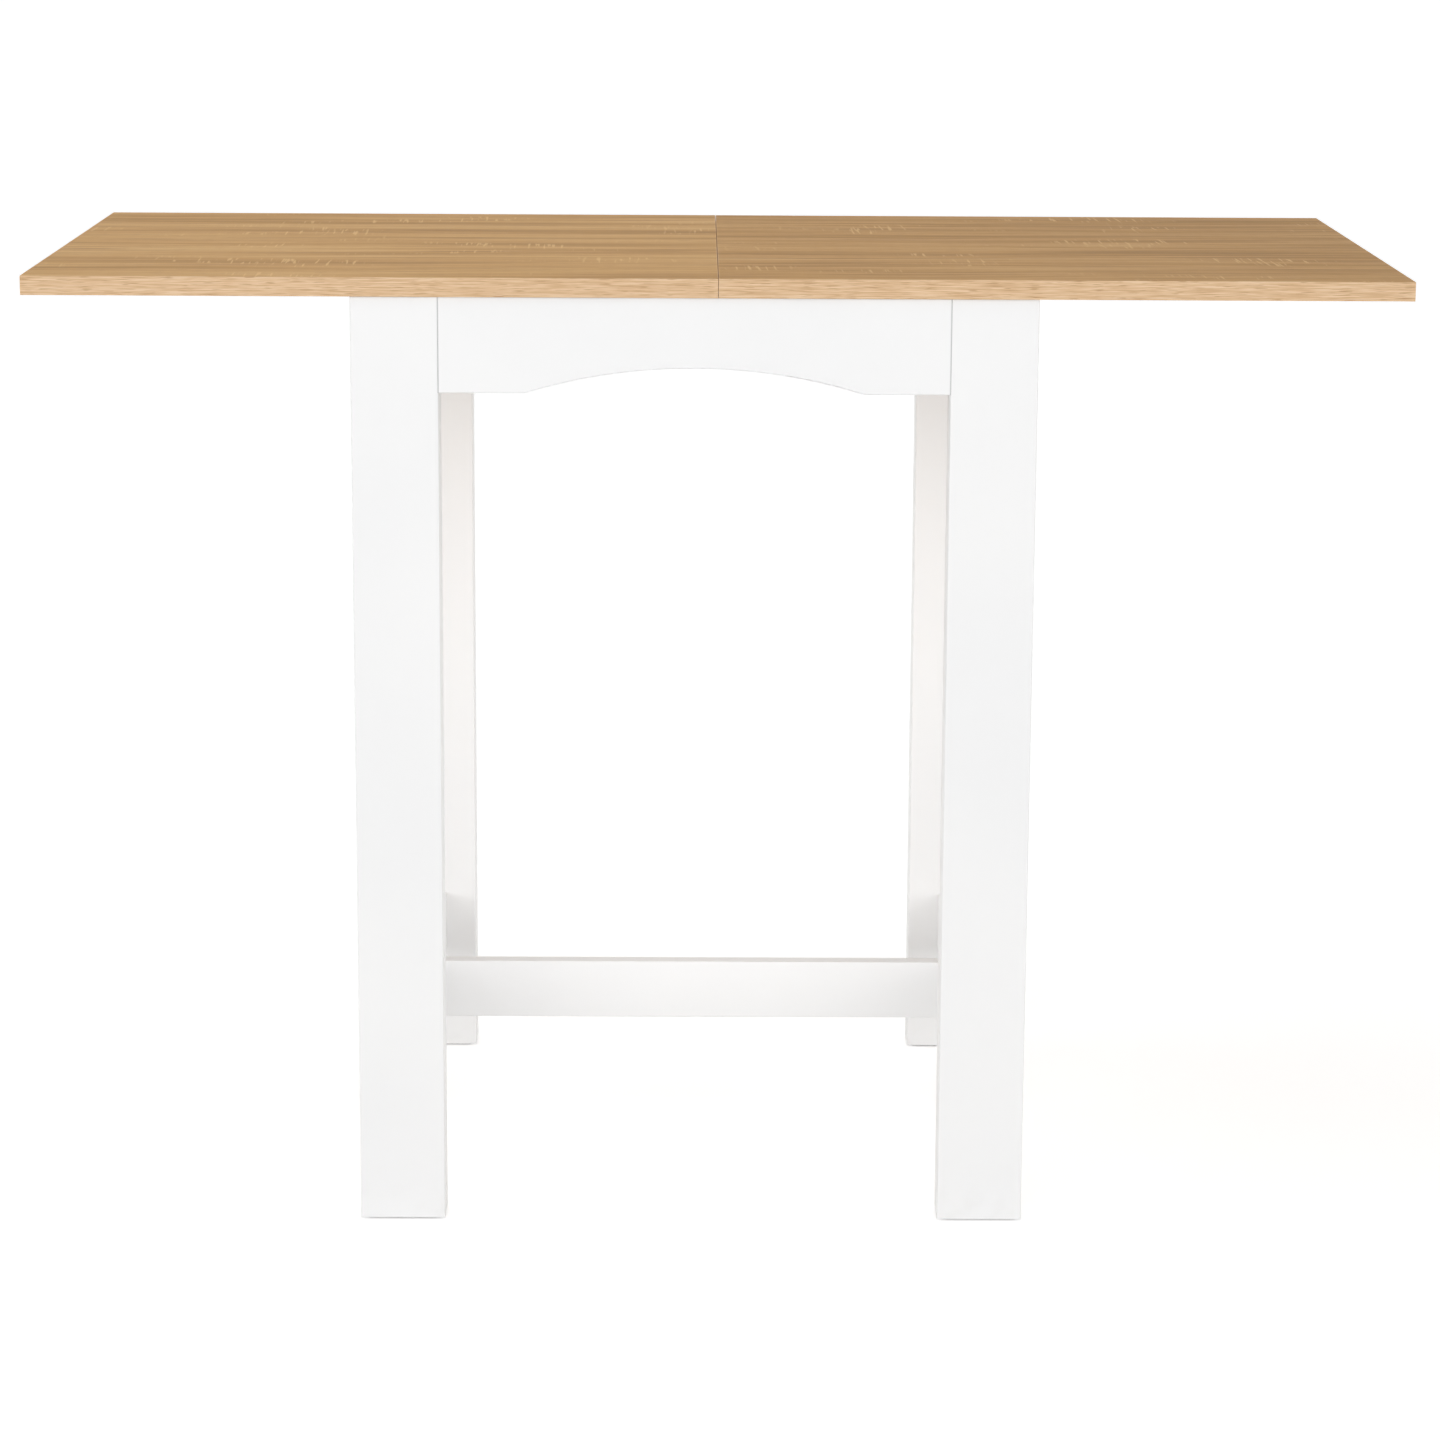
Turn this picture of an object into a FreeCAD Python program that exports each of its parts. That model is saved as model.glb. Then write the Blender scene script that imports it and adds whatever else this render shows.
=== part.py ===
"""Extending bar table: two oak-faced leaves on a white frame, drawn out and unfolded.

Millimetres, +Z up. The origin is on the floor under the middle of the open top, where the two leaves
meet. X runs along the open top, Y from front to back. The left leaf slides along +X on two grooved
rails, and the right leaf folds over onto it about the line where their top faces meet.
"""
import FreeCAD, Part
import math
import os
import Sketcher

# Driving sizes: alias, millimetres, what it measures.
DRIVING_SIZES = (
    ("leaf_length", 650, "one leaf along the open top, edging included"),
    ("leaf_depth", 650, "one leaf from front to back, edging included"),
    ("leaf_thickness", 18, "board of both leaves"),
    ("table_height", 920, "floor to the open top"),
    ("edging_thickness", 1, "band glued round each leaf"),
    ("seam_gap", 0.4, "between the edges of the open leaves"),
    ("fold_gap", 0.4, "between the faces of the folded leaves"),
    ("frame_reveal", 3, "how far the closed top stands past the frame"),
    ("frame_offset", 22, "from the seam of the open top to the middle of the frame"),
    ("leg_width", 82, "leg seen from the front"),
    ("leg_depth", 45, "leg seen from the side"),
    ("edge_round", 1.2, "eased edges of legs, aprons and stretchers"),
    ("apron_height", 90, "apron from its top to its straight lower edge"),
    ("apron_thickness", 18, "board of the aprons"),
    ("arch_span", 318, "arch in an apron, end to end"),
    ("arch_rise", 24, "crown of the arch above the lower edge"),
    ("arch_blend", 12, "rounding where the arch meets the lower edge"),
    ("stretcher_height", 60, "stretcher rails, top to bottom"),
    ("stretcher_thickness", 18, "board of the stretcher rails"),
    ("stretcher_lift", 116, "floor to the lower edge of the stretchers"),
    ("pad_thickness", 2, "felt pad under each leg"),
    ("pad_inset", 4, "pad back from the faces of the leg"),
    ("strip_thickness", 0.4, "glide strip under the sliding leaf"),
    ("strip_width", 10, "glide strip across the apron"),
    ("strip_inset", 6, "glide strip back from the ends of the apron"),
    ("rail_width", 25, "guide rail from front to back"),
    ("rail_height", 30, "guide rail, top to bottom"),
    ("rail_drop", 0.5, "top of the guide rail below the top of the frame"),
    ("groove_depth", 8, "groove into the inner face of the guide rail"),
    ("groove_height", 8.6, "groove, top to bottom"),
    ("groove_lift", 11, "lower edge of the groove above the bottom of the rail"),
    ("runner_width", 22, "runner without its tongue"),
    ("runner_height", 26, "runner, top to bottom"),
    ("running_clearance", 0.3, "between a sliding tongue and its groove"),
    ("runner_clearance", 0.5, "between the runner and the rail, and at the groove's floor"),
    ("stop_clearance", 0.2, "between a tongue and the leg that stops it"),
    ("block_width", 27, "joint block, away from the side apron"),
    ("block_length", 30, "joint block, away from the leg"),
    ("block_height", 60, "joint block, top to bottom"),
    ("block_drop", 15, "joint block below the top of the frame"),
    ("block_bolt_pitch", 32, "between the two bolts of a joint block"),
    ("block_screw_pitch", 14, "between the two screws of a joint block"),
    ("hole_clearance", 0.1, "round dowels, bolts, screws and pins in their holes"),
    ("hole_spare", 1, "blind holes deeper than what they hold"),
    ("dowel_diameter", 8, "wooden dowels"),
    ("dowel_length", 40, "wooden dowels, half in each piece"),
    ("dowel_chamfer", 1, "bevelled ends of the dowels"),
    ("dowel_drop_upper", 22, "upper apron dowel below the top of the frame"),
    ("dowel_drop_lower", 70, "lower apron dowel below the top of the frame"),
    ("stretcher_dowel_lift", 42, "dowel above the lower edge of a stretcher"),
    ("stretcher_bolt_lift", 18, "bolt or cam above the lower edge of a stretcher"),
    ("bolt_diameter", 6, "bolts of the joint blocks and of the centre stretcher"),
    ("bolt_head_diameter", 13, "flat bolt heads"),
    ("bolt_head_height", 3, "flat bolt heads"),
    ("bolt_chamfer", 0.25, "bevelled tips of the bolts"),
    ("bolt_socket", 4, "round drive socket in the bolt heads"),
    ("bolt_socket_depth", 2, "drive socket in the bolt heads"),
    ("block_bolt_length", 42, "bolt of a joint block under its head"),
    ("stretcher_bolt_length", 60, "bolt of the centre stretcher under its head"),
    ("washer_diameter", 16, "washers of the joint blocks"),
    ("washer_thickness", 1.5, "washers of the joint blocks"),
    ("insert_diameter", 10, "threaded inserts in the legs"),
    ("insert_length", 14, "threaded inserts in the legs"),
    ("barrel_nut_diameter", 10, "barrel nuts in the centre stretcher"),
    ("barrel_nut_length", 14, "barrel nuts in the centre stretcher"),
    ("barrel_nut_reach", 34, "barrel nut from the end of the centre stretcher"),
    ("cam_diameter", 15, "cam locks in the side stretchers"),
    ("cam_height", 13, "cam locks in the side stretchers"),
    ("cam_reach", 34, "cam lock from the end of the side stretcher"),
    ("cam_bolt_diameter", 7, "stem of the cam bolts"),
    ("cam_thread_diameter", 6, "thread of the cam bolts in the leg"),
    ("cam_thread_length", 11, "thread of the cam bolts in the leg"),
    ("cam_neck_diameter", 4.5, "neck of the cam bolts in the locks"),
    ("screw_diameter", 4, "wood screws of rails, runners and joint blocks"),
    ("screw_head_diameter", 8, "wood screw heads"),
    ("screw_head_height", 2.5, "wood screw heads"),
    ("screw_recess", 3, "drive recess in the screw heads"),
    ("screw_recess_depth", 1.5, "drive recess in the screw heads"),
    ("screw_point", 1, "narrowing of a screw towards its tip"),
    ("screw_bite", 11, "how deep a wood screw goes into the second piece"),
    ("rail_screw_lift", 5.5, "rail screws above the bottom of the rail"),
    ("rail_screw_inset", 45, "outer rail screws from the ends of the rail"),
    ("runner_screw_inset", 20, "outer runner screws from the ends of the runner"),
    ("hinge_spacing", 225, "between neighbouring hinges along the seam"),
    ("cup_length", 46, "hinge cup along the seam"),
    ("cup_web", 5.6, "hinge cup behind the slot for the links"),
    ("top_skin", 2, "board left above a hinge mortise"),
    ("bottom_skin", 3, "board left below a hinge mortise"),
    ("cup_fit", 0.15, "between a hinge cup and its mortise"),
    ("cup_slot_width", 8.8, "slot for the links in a hinge cup"),
    ("cup_slot_spare", 0.8, "behind the links in a hinge cup"),
    ("pin_diameter", 2.5, "hinge pins"),
    ("pin_length", 18, "hinge pins"),
    ("pin_clearance", 0.05, "round a hinge pin in its link and cup"),
    ("link_eye", 2.4, "radius of a link round its pin, half the width of its arm"),
    ("link_spare", 0.4, "between the bar of a folded link and the folding line"),
    ("link_floor", 1.2, "between the bar of the links and the floor of the mortise"),
    ("link_bar", 3.2, "height of the bar of the links"),
    ("link_bar_end", 1.2, "bar of a link past its sliding pin or slot"),
    ("fork_plate", 2.4, "each plate of a forked link"),
    ("tongue_plate", 3, "plate of a tongue link"),
    ("plate_clearance", 0.15, "between the plates of two links"),
    ("slide_pin_diameter", 1.6, "sliding pin between the bars of two links"),
    ("cup_screw_diameter", 3, "screws of the hinge cups"),
    ("cup_screw_head_diameter", 6, "screws of the hinge cups"),
    ("cup_screw_head_height", 2, "screws of the hinge cups"),
    ("cup_screw_length", 24, "screws of the hinge cups, head included"),
    ("cup_screw_pitch", 30, "between the two screws of a hinge cup"),
)

doc = FreeCAD.newDocument("ExtendingBarTable")
sheet = doc.addObject("Spreadsheet::Sheet", "Sizes")
for row, (alias, millimetres, meaning) in enumerate(DRIVING_SIZES, start=1):
    sheet.set(f"A{row}", meaning)
    sheet.set(f"B{row}", str(millimetres))
    sheet.setAlias(f"B{row}", alias)
doc.recompute()


class Size:
    """A length that carries its number and the expression in the sheet's aliases that gives it."""

    def __init__(self, number, words):
        self.number = number
        self.words = words

    def __add__(self, other):
        return Size(self.number + number_of(other), f"({self.words} + {words_of(other)})")

    def __radd__(self, other):
        return self + other

    def __sub__(self, other):
        return Size(self.number - number_of(other), f"({self.words} - {words_of(other)})")

    def __rsub__(self, other):
        return -self + other

    def __mul__(self, factor):
        return Size(self.number * number_of(factor), f"({self.words} * {words_of(factor)})")

    def __truediv__(self, divisor):
        return Size(self.number / number_of(divisor), f"({self.words} / {words_of(divisor)})")

    def __neg__(self):
        return Size(-self.number, f"(-1 * {self.words})")


def number_of(value):
    return value.number if isinstance(value, Size) else float(value)


def words_of(value):
    return value.words if isinstance(value, Size) else f"({value})"


class SheetSizes:
    """The sheet's aliases as attributes, each one a Size."""

    def __init__(self):
        for alias, millimetres, _ in DRIVING_SIZES:
            setattr(self, alias, Size(float(millimetres), f"Sizes.{alias}"))


S = SheetSizes()
NOTHING = Size(0.0, "0")

# Heights.
leaf_bottom = S.table_height - S.leaf_thickness
frame_top = leaf_bottom - S.strip_thickness
leg_height = frame_top - S.pad_thickness
apron_bottom = frame_top - S.apron_height
fold_line = S.table_height + S.fold_gap / 2

# The frame in plan: its middle lies to the left of the seam.
frame_half_length = S.leaf_length / 2 - S.frame_reveal
frame_half_depth = S.leaf_depth / 2 - S.frame_reveal
frame_left = -S.frame_offset - frame_half_length
frame_right = frame_half_length - S.frame_offset
frame_front = -frame_half_depth
frame_back = frame_half_depth
long_apron_span = frame_half_length * 2 - S.leg_width * 2
side_apron_span = frame_half_depth * 2 - S.leg_depth * 2
side_stretcher_left = frame_left + S.leg_width / 2
side_stretcher_right = frame_right - S.leg_width / 2
centre_stretcher_span = side_stretcher_right - side_stretcher_left - S.stretcher_thickness

# The slide: the closed top is centred on the frame, and the legs stop the tongues at both ends.
rail_left = frame_left + S.leg_width
rail_bottom = frame_top - S.rail_drop - S.rail_height
slide_travel = S.leaf_length / 2 + S.seam_gap / 2 - S.frame_offset
runner_length = long_apron_span - slide_travel - S.stop_clearance * 2
tongue_depth = S.groove_depth
tongue_height = S.groove_height - S.running_clearance * 2
runner_bottom = leaf_bottom - S.runner_height
tongue_lift = rail_bottom + S.groove_lift + S.running_clearance - runner_bottom
runner_outer = frame_half_depth - S.apron_thickness - S.rail_width + S.groove_depth - S.runner_clearance

# The leaves: boards inside their edging. The hinge pins are as far below the folding line as they are
# away from the seam, and the links' bars must clear both the leaves' edges and the mortise's floor.
board_length = S.leaf_length - S.edging_thickness * 2
board_depth = S.leaf_depth - S.edging_thickness * 2
seam_edge = S.seam_gap / 2
mortise_height = S.leaf_thickness - S.top_skin - S.bottom_skin
mortise_length = S.cup_length + S.cup_fit * 2
hinge_drop = S.fold_gap / 2 + S.leaf_thickness - S.bottom_skin
hinge_reach = (hinge_drop - S.link_floor - S.link_bar - S.link_spare) / 2
cup_slot_depth = hinge_reach + S.link_eye + S.cup_slot_spare
cup_depth = cup_slot_depth + S.cup_web - seam_edge
mortise_depth = cup_depth + S.cup_fit
HINGE_PLACES = (-1, 0, 1)

# Fasteners.
dowel_radius = S.dowel_diameter / 2
dowel_hole = dowel_radius + S.hole_clearance
dowel_hole_depth = S.dowel_length / 2 + S.hole_spare
shallow_dowel = S.dowel_length / 4
deep_dowel = S.dowel_length - shallow_dowel
bolt_hole = S.bolt_diameter / 2 + S.hole_clearance
screw_hole = S.screw_diameter / 2 + S.hole_clearance
screw_hole_depth = S.screw_bite + S.hole_spare
rail_screw_length = S.rail_width - S.screw_head_height + S.screw_bite
runner_screw_length = S.runner_height - S.screw_head_height + S.screw_bite
block_screw_length = S.block_width + S.screw_bite
RAIL_SCREWS = 4
RUNNER_SCREWS = 3
POINT_SLOPE = 4  # length of a point for each millimetre that it narrows
THROUGH = 2  # a cut through a piece is this many times as long as the piece
TOLERANCE = 1e-6  # millimetres within which two coordinates are the same


def between(first, last, count):
    """Evenly spaced Sizes from first to last."""
    return [first + (last - first) * step / (count - 1) for step in range(count)]


def bind(thing, prop, size):
    """Ties a property of a document object to the sheet."""
    thing.setExpression(prop, words_of(size))


def place(thing, x, y, z, turn=0.0, axis=FreeCAD.Vector(0, 0, 1)):
    """Puts an object at a bound place, turned by a fixed angle."""
    base = FreeCAD.Vector(number_of(x), number_of(y), number_of(z))
    thing.Placement = FreeCAD.Placement(base, FreeCAD.Rotation(axis, turn))
    for letter, size in zip("xyz", (x, y, z)):
        bind(thing, f"Placement.Base.{letter}", size)
    return thing


def new_body(label):
    body = doc.addObject("PartDesign::Body", label)
    body.Label = label
    return body


def sketch_on(body, role, level=None):
    """A sketch on one of the body's own origin planes, or level millimetres along that plane's normal."""
    sketch = body.newObject("Sketcher::SketchObject", f"{body.Name}_sketch")
    plane = next(feature for feature in body.Origin.OriginFeatures if feature.Role == role)
    sketch.AttachmentSupport = [(plane, "")]
    sketch.MapMode = "FlatFace"
    if level is not None:
        bind(sketch, "AttachmentOffset.Base.z", level)
    return sketch


def hold_point(sketch, geometry, which, x, y):
    """Ties one point of the sketch to bound distances from the sketch's origin."""
    for kind, size in (("DistanceX", x), ("DistanceY", y)):
        rule = Sketcher.Constraint(kind, -1, 1, geometry, which, number_of(size))
        bind(sketch, f"Constraints[{sketch.addConstraint(rule)}]", size)


def hold_radius(sketch, geometry, size):
    rule = Sketcher.Constraint("Radius", geometry, number_of(size))
    bind(sketch, f"Constraints[{sketch.addConstraint(rule)}]", size)


def flat(x, y):
    return FreeCAD.Vector(number_of(x), number_of(y), 0)


def draw_outline(sketch, points):
    """A closed outline of straight lines, every corner bound."""
    first = sketch.GeometryCount
    count = len(points)
    for start, end in zip(points, points[1:] + points[:1]):
        sketch.addGeometry(Part.LineSegment(flat(*start), flat(*end)))
    for step, (x, y) in enumerate(points):
        line, after = first + step, first + (step + 1) % count
        sketch.addConstraint(Sketcher.Constraint("Coincident", line, 2, after, 1))
        hold_point(sketch, line, 1, x, y)


def draw_box(sketch, x0, y0, x1, y1):
    draw_outline(sketch, [(x0, y0), (x1, y0), (x1, y1), (x0, y1)])


def draw_circle(sketch, x, y, radius):
    circle = Part.Circle(flat(x, y), FreeCAD.Vector(0, 0, 1), number_of(radius))
    geometry = sketch.addGeometry(circle)
    hold_point(sketch, geometry, 3, x, y)
    hold_radius(sketch, geometry, radius)


def draw_slot(sketch, x0, x1, y, radius):
    """A long hole along the sketch's X, with round ends centred at x0 and x1."""
    up = FreeCAD.Vector(0, 0, 1)
    left, right = (Part.Circle(flat(x, y), up, number_of(radius)) for x in (x0, x1))
    quarter = math.pi / 2
    left_arc = sketch.addGeometry(Part.ArcOfCircle(left, quarter, 3 * quarter))
    right_arc = sketch.addGeometry(Part.ArcOfCircle(right, -quarter, quarter))
    lower = sketch.addGeometry(Part.LineSegment(flat(x0, y - radius), flat(x1, y - radius)))
    upper = sketch.addGeometry(Part.LineSegment(flat(x1, y + radius), flat(x0, y + radius)))
    sketch.addConstraint(Sketcher.Constraint("Tangent", left_arc, 2, lower, 1))
    sketch.addConstraint(Sketcher.Constraint("Tangent", lower, 2, right_arc, 1))
    sketch.addConstraint(Sketcher.Constraint("Tangent", right_arc, 2, upper, 1))
    sketch.addConstraint(Sketcher.Constraint("Tangent", upper, 2, left_arc, 1))
    hold_point(sketch, left_arc, 3, x0, y)
    hold_point(sketch, right_arc, 3, x1, y)
    hold_radius(sketch, left_arc, radius)


def pad(body, sketch, length, reverse=False, middle=False):
    feature = body.newObject("PartDesign::Pad", f"{body.Name}_pad")
    feature.Profile = (sketch, [""])
    bind(feature, "Length", length)
    feature.Reversed = reverse
    feature.Midplane = middle
    doc.recompute()


def pocket(body, sketch, depth, reverse=False, middle=False):
    """Cuts a sketch into the body, against the sketch's normal, and checks that it took material away."""
    before = body.Shape.Volume
    feature = body.newObject("PartDesign::Pocket", f"{body.Name}_pocket")
    feature.Profile = (sketch, [""])
    bind(feature, "Length", depth)
    feature.Reversed = reverse
    feature.Midplane = middle
    doc.recompute()
    if not body.Shape.Volume < before:
        raise RuntimeError(f"a pocket of {body.Label} cut nothing")


def drill(body, role, level, holes, depth, reverse=False):
    """Blind round holes, as (x, y, radius) in the plane of the role, from a level along its normal."""
    sketch = sketch_on(body, role, level)
    for x, y, radius in holes:
        draw_circle(sketch, x, y, radius)
    pocket(body, sketch, depth, reverse)


def round_edges(body, radius, wanted):
    """Rounds the edges for which wanted(start, end) is true."""
    base, names = body.Tip, []
    for step, edge in enumerate(body.Shape.Edges, start=1):
        start, end = edge.Vertexes[0].Point, edge.Vertexes[-1].Point
        if wanted(start, end):
            names.append(f"Edge{step}")
    feature = body.newObject("PartDesign::Fillet", f"{body.Name}_round")
    feature.Base = (base, names)
    bind(feature, "Radius", radius)
    doc.recompute()


def same(a, b):
    return abs(a - b) < TOLERANCE


def revolved(label, profile):
    """A turned piece on the Z axis from its half profile, as (radius, height) points."""
    body = new_body(label)
    sketch = sketch_on(body, "XZ_Plane")
    draw_outline(sketch, profile)
    turn = body.newObject("PartDesign::Revolution", f"{label}_turn")
    turn.Profile = (sketch, [""])
    turn.ReferenceAxis = (sketch, ["V_Axis"])
    turn.Angle = 360
    doc.recompute()
    return body


NODES = []


def keep(thing):
    """Marks an object as a finished piece of the table."""
    NODES.append(thing)
    return thing


ALONG = {
    "+x": FreeCAD.Rotation(FreeCAD.Vector(0, 1, 0), 90),
    "-x": FreeCAD.Rotation(FreeCAD.Vector(0, 1, 0), -90),
    "+y": FreeCAD.Rotation(FreeCAD.Vector(1, 0, 0), -90),
    "-y": FreeCAD.Rotation(FreeCAD.Vector(1, 0, 0), 90),
    "+z": FreeCAD.Rotation(),
    "-z": FreeCAD.Rotation(FreeCAD.Vector(1, 0, 0), 180),
    "about": FreeCAD.Rotation(FreeCAD.Vector(0, 0, 1), 180),
}


def copies(label, master, places):
    """One node of separate solids: the master's copies at (x, y, z, way its own +Z points)."""
    links = []
    for x, y, z, way in places:
        link = doc.addObject("App::Link", f"{label}_copy")
        link.LinkedObject = master
        place(link, x, y, z)
        turned = link.Placement
        turned.Rotation = ALONG[way]
        link.Placement = turned
        links.append(link)
    group = doc.addObject("Part::Compound", label)
    group.Label = label
    group.Links = links
    doc.recompute()
    return keep(group)


def leg(label, right_hand, x, y, turn):
    """A flat leg with the holes of its two aprons, its joint block and its side stretcher.

    Measured from the leg's outer corner: across from its outer side face, in from its outer front face.
    A right-hand leg has its outer side face on the far side of its own X.
    """
    def across(size):
        return S.leg_width - size if right_hand else size

    body = new_body(label)
    sketch = sketch_on(body, "XY_Plane")
    draw_box(sketch, NOTHING, NOTHING, S.leg_width, S.leg_depth)
    pad(body, sketch, leg_height)
    round_edges(body, S.edge_round, lambda a, b: not same(a.z, b.z))
    dowel_heights = [leg_height - S.dowel_drop_upper, leg_height - S.dowel_drop_lower]
    long_apron_holes = [(S.apron_thickness / 2, height, dowel_hole) for height in dowel_heights]
    drill(body, "YZ_Plane", across(S.leg_width), long_apron_holes, dowel_hole_depth, right_hand)
    stretcher_base = S.stretcher_lift - S.pad_thickness
    back_face_holes = [(across(S.apron_thickness / 2), height, dowel_hole) for height in dowel_heights]
    dowel_height = stretcher_base + S.stretcher_dowel_lift
    back_face_holes.append((across(S.leg_width / 2), dowel_height, dowel_hole))
    drill(body, "XZ_Plane", -S.leg_depth, back_face_holes, dowel_hole_depth, True)
    insert_hole = S.insert_diameter / 2 + S.hole_clearance
    insert_across = across(S.apron_thickness + S.block_width / 2)
    block_middle = leg_height - S.block_drop - S.block_height / 2
    insert_holes = [
        (insert_across, block_middle + S.block_bolt_pitch / 2 * side, insert_hole) for side in (-1, 1)
    ]
    drill(body, "XZ_Plane", -S.leg_depth, insert_holes, S.insert_length + S.hole_spare, True)
    cam_hole = S.cam_thread_diameter / 2 + S.hole_clearance
    cam_height = stretcher_base + S.stretcher_bolt_lift
    cam_holes = [(across(S.leg_width / 2), cam_height, cam_hole)]
    drill(body, "XZ_Plane", -S.leg_depth, cam_holes, S.cam_thread_length + S.hole_spare, True)
    return keep(place(body, x, y, S.pad_thickness, turn))


def apron(label, span, x, y, turn, inner_holes):
    """An arched apron. Its outer face is its own Y = 0, and its lower edge is Z = 0.

    The arch is a circular arc over its span, with the radius that its rise gives.
    """
    body = new_body(label)
    sketch = sketch_on(body, "XZ_Plane")
    start, end = span / 2 - S.arch_span / 2, span / 2 + S.arch_span / 2
    corners = [(end, NOTHING), (span, NOTHING), (span, S.apron_height), (NOTHING, S.apron_height)]
    corners += [(NOTHING, NOTHING), (start, NOTHING)]
    for here, there in zip(corners, corners[1:]):
        sketch.addGeometry(Part.LineSegment(flat(*here), flat(*there)))
    arch = sketch.addGeometry(Part.Arc(flat(*corners[-1]), flat(span / 2, S.arch_rise), flat(*corners[0])))
    for line in range(len(corners) - 2):
        sketch.addConstraint(Sketcher.Constraint("Coincident", line, 2, line + 1, 1))
    for line, (corner_x, corner_y) in enumerate(corners[:-1]):
        hold_point(sketch, line, 1, corner_x, corner_y)
    last = len(corners) - 2
    hold_point(sketch, last, 2, *corners[-1])
    arch_ends = sorted((1, 2), key=lambda which: sketch.getPoint(arch, which).x)
    sketch.addConstraint(Sketcher.Constraint("Coincident", arch, arch_ends[0], last, 2))
    sketch.addConstraint(Sketcher.Constraint("Coincident", arch, arch_ends[1], 0, 1))
    arch_radius = (S.arch_span * S.arch_span / 4 + S.arch_rise * S.arch_rise) / (S.arch_rise * 2)
    hold_radius(sketch, arch, arch_radius)
    pad(body, sketch, S.apron_thickness, True)
    arch_x = (start.number, end.number)
    round_edges(body, S.arch_blend, lambda a, b: not same(a.y, b.y) and same(a.z, 0)
                and same(b.z, 0) and any(same(a.x, place_x) for place_x in arch_x))
    half_height = S.apron_height.number / 2
    round_edges(body, S.edge_round, lambda a, b: same(a.y, b.y) and max(a.z, b.z) < half_height)
    heights = [S.apron_height - S.dowel_drop_upper, S.apron_height - S.dowel_drop_lower]
    holes = [(S.apron_thickness / 2, height, dowel_hole) for height in heights]
    drill(body, "YZ_Plane", span, holes, dowel_hole_depth)
    drill(body, "YZ_Plane", NOTHING, holes, dowel_hole_depth, True)
    drill(body, "XZ_Plane", -S.apron_thickness, inner_holes, screw_hole_depth, True)
    return keep(place(body, x, y, apron_bottom, turn))


def build_legs():
    leg("leg_front_left", False, frame_left, frame_front, 0)
    leg("leg_front_right", True, frame_right - S.leg_width, frame_front, 0)
    leg("leg_back_left", True, frame_left + S.leg_width, frame_back, 180)
    leg("leg_back_right", False, frame_right, frame_back, 180)


def rail_screw_steps():
    """Rail screws along the rail, from its left end."""
    return between(S.rail_screw_inset, long_apron_span - S.rail_screw_inset, RAIL_SCREWS)


def block_screw_offsets():
    """Joint block screws along the side apron, from the leg's inner face."""
    return [S.block_length / 2 + S.block_screw_pitch / 2 * side for side in (-1, 1)]


def build_aprons():
    rail_screw_height = rail_bottom + S.rail_screw_lift - apron_bottom
    rail_holes = [(step, rail_screw_height, screw_hole) for step in rail_screw_steps()]
    apron("apron_front", long_apron_span, frame_left + S.leg_width, frame_front, 0, rail_holes)
    apron("apron_back", long_apron_span, frame_right - S.leg_width, frame_back, 180, rail_holes)
    block_middle = S.apron_height - S.block_drop - S.block_height / 2
    block_holes = []
    for offset in block_screw_offsets():
        block_holes.append((offset, block_middle, screw_hole))
        block_holes.append((side_apron_span - offset, block_middle, screw_hole))
    apron("apron_left", side_apron_span, frame_left, frame_back - S.leg_depth, -90, block_holes)
    apron("apron_right", side_apron_span, frame_right, frame_front + S.leg_depth, 90, block_holes)


def side_stretcher(label, x, y, turn):
    """A low rail from front leg to back leg. Its inner face, with the cams, is on its own +X side."""
    body = new_body(label)
    sketch = sketch_on(body, "XZ_Plane")
    draw_box(sketch, -S.stretcher_thickness / 2, NOTHING, S.stretcher_thickness / 2, S.stretcher_height)
    pad(body, sketch, side_apron_span, True)
    round_edges(body, S.edge_round, lambda a, b: not same(a.y, b.y))
    dowel_holes = [(NOTHING, S.stretcher_dowel_lift, dowel_hole)]
    cam_bolt_holes = [(NOTHING, S.stretcher_bolt_lift, S.cam_bolt_diameter / 2 + S.hole_clearance)]
    for level, reverse in ((NOTHING, False), (-side_apron_span, True)):
        drill(body, "XZ_Plane", level, dowel_holes, dowel_hole_depth, reverse)
        drill(body, "XZ_Plane", level, cam_bolt_holes, S.cam_reach, reverse)
    cam_hole = S.cam_diameter / 2 + S.hole_clearance
    cam_holes = [
        (place_y, S.stretcher_bolt_lift, cam_hole) for place_y in (S.cam_reach, side_apron_span - S.cam_reach)
    ]
    inner_face = S.stretcher_thickness / 2
    drill(body, "YZ_Plane", inner_face, cam_holes, S.cam_height + S.hole_clearance)
    centre_dowel = [(side_apron_span / 2, S.stretcher_dowel_lift, dowel_hole)]
    drill(body, "YZ_Plane", inner_face, centre_dowel, shallow_dowel + S.hole_spare)
    centre_bolt = [(side_apron_span / 2, S.stretcher_bolt_lift, bolt_hole)]
    drill(body, "YZ_Plane", inner_face, centre_bolt, S.stretcher_thickness)
    return keep(place(body, x, y, S.stretcher_lift, turn))


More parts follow.
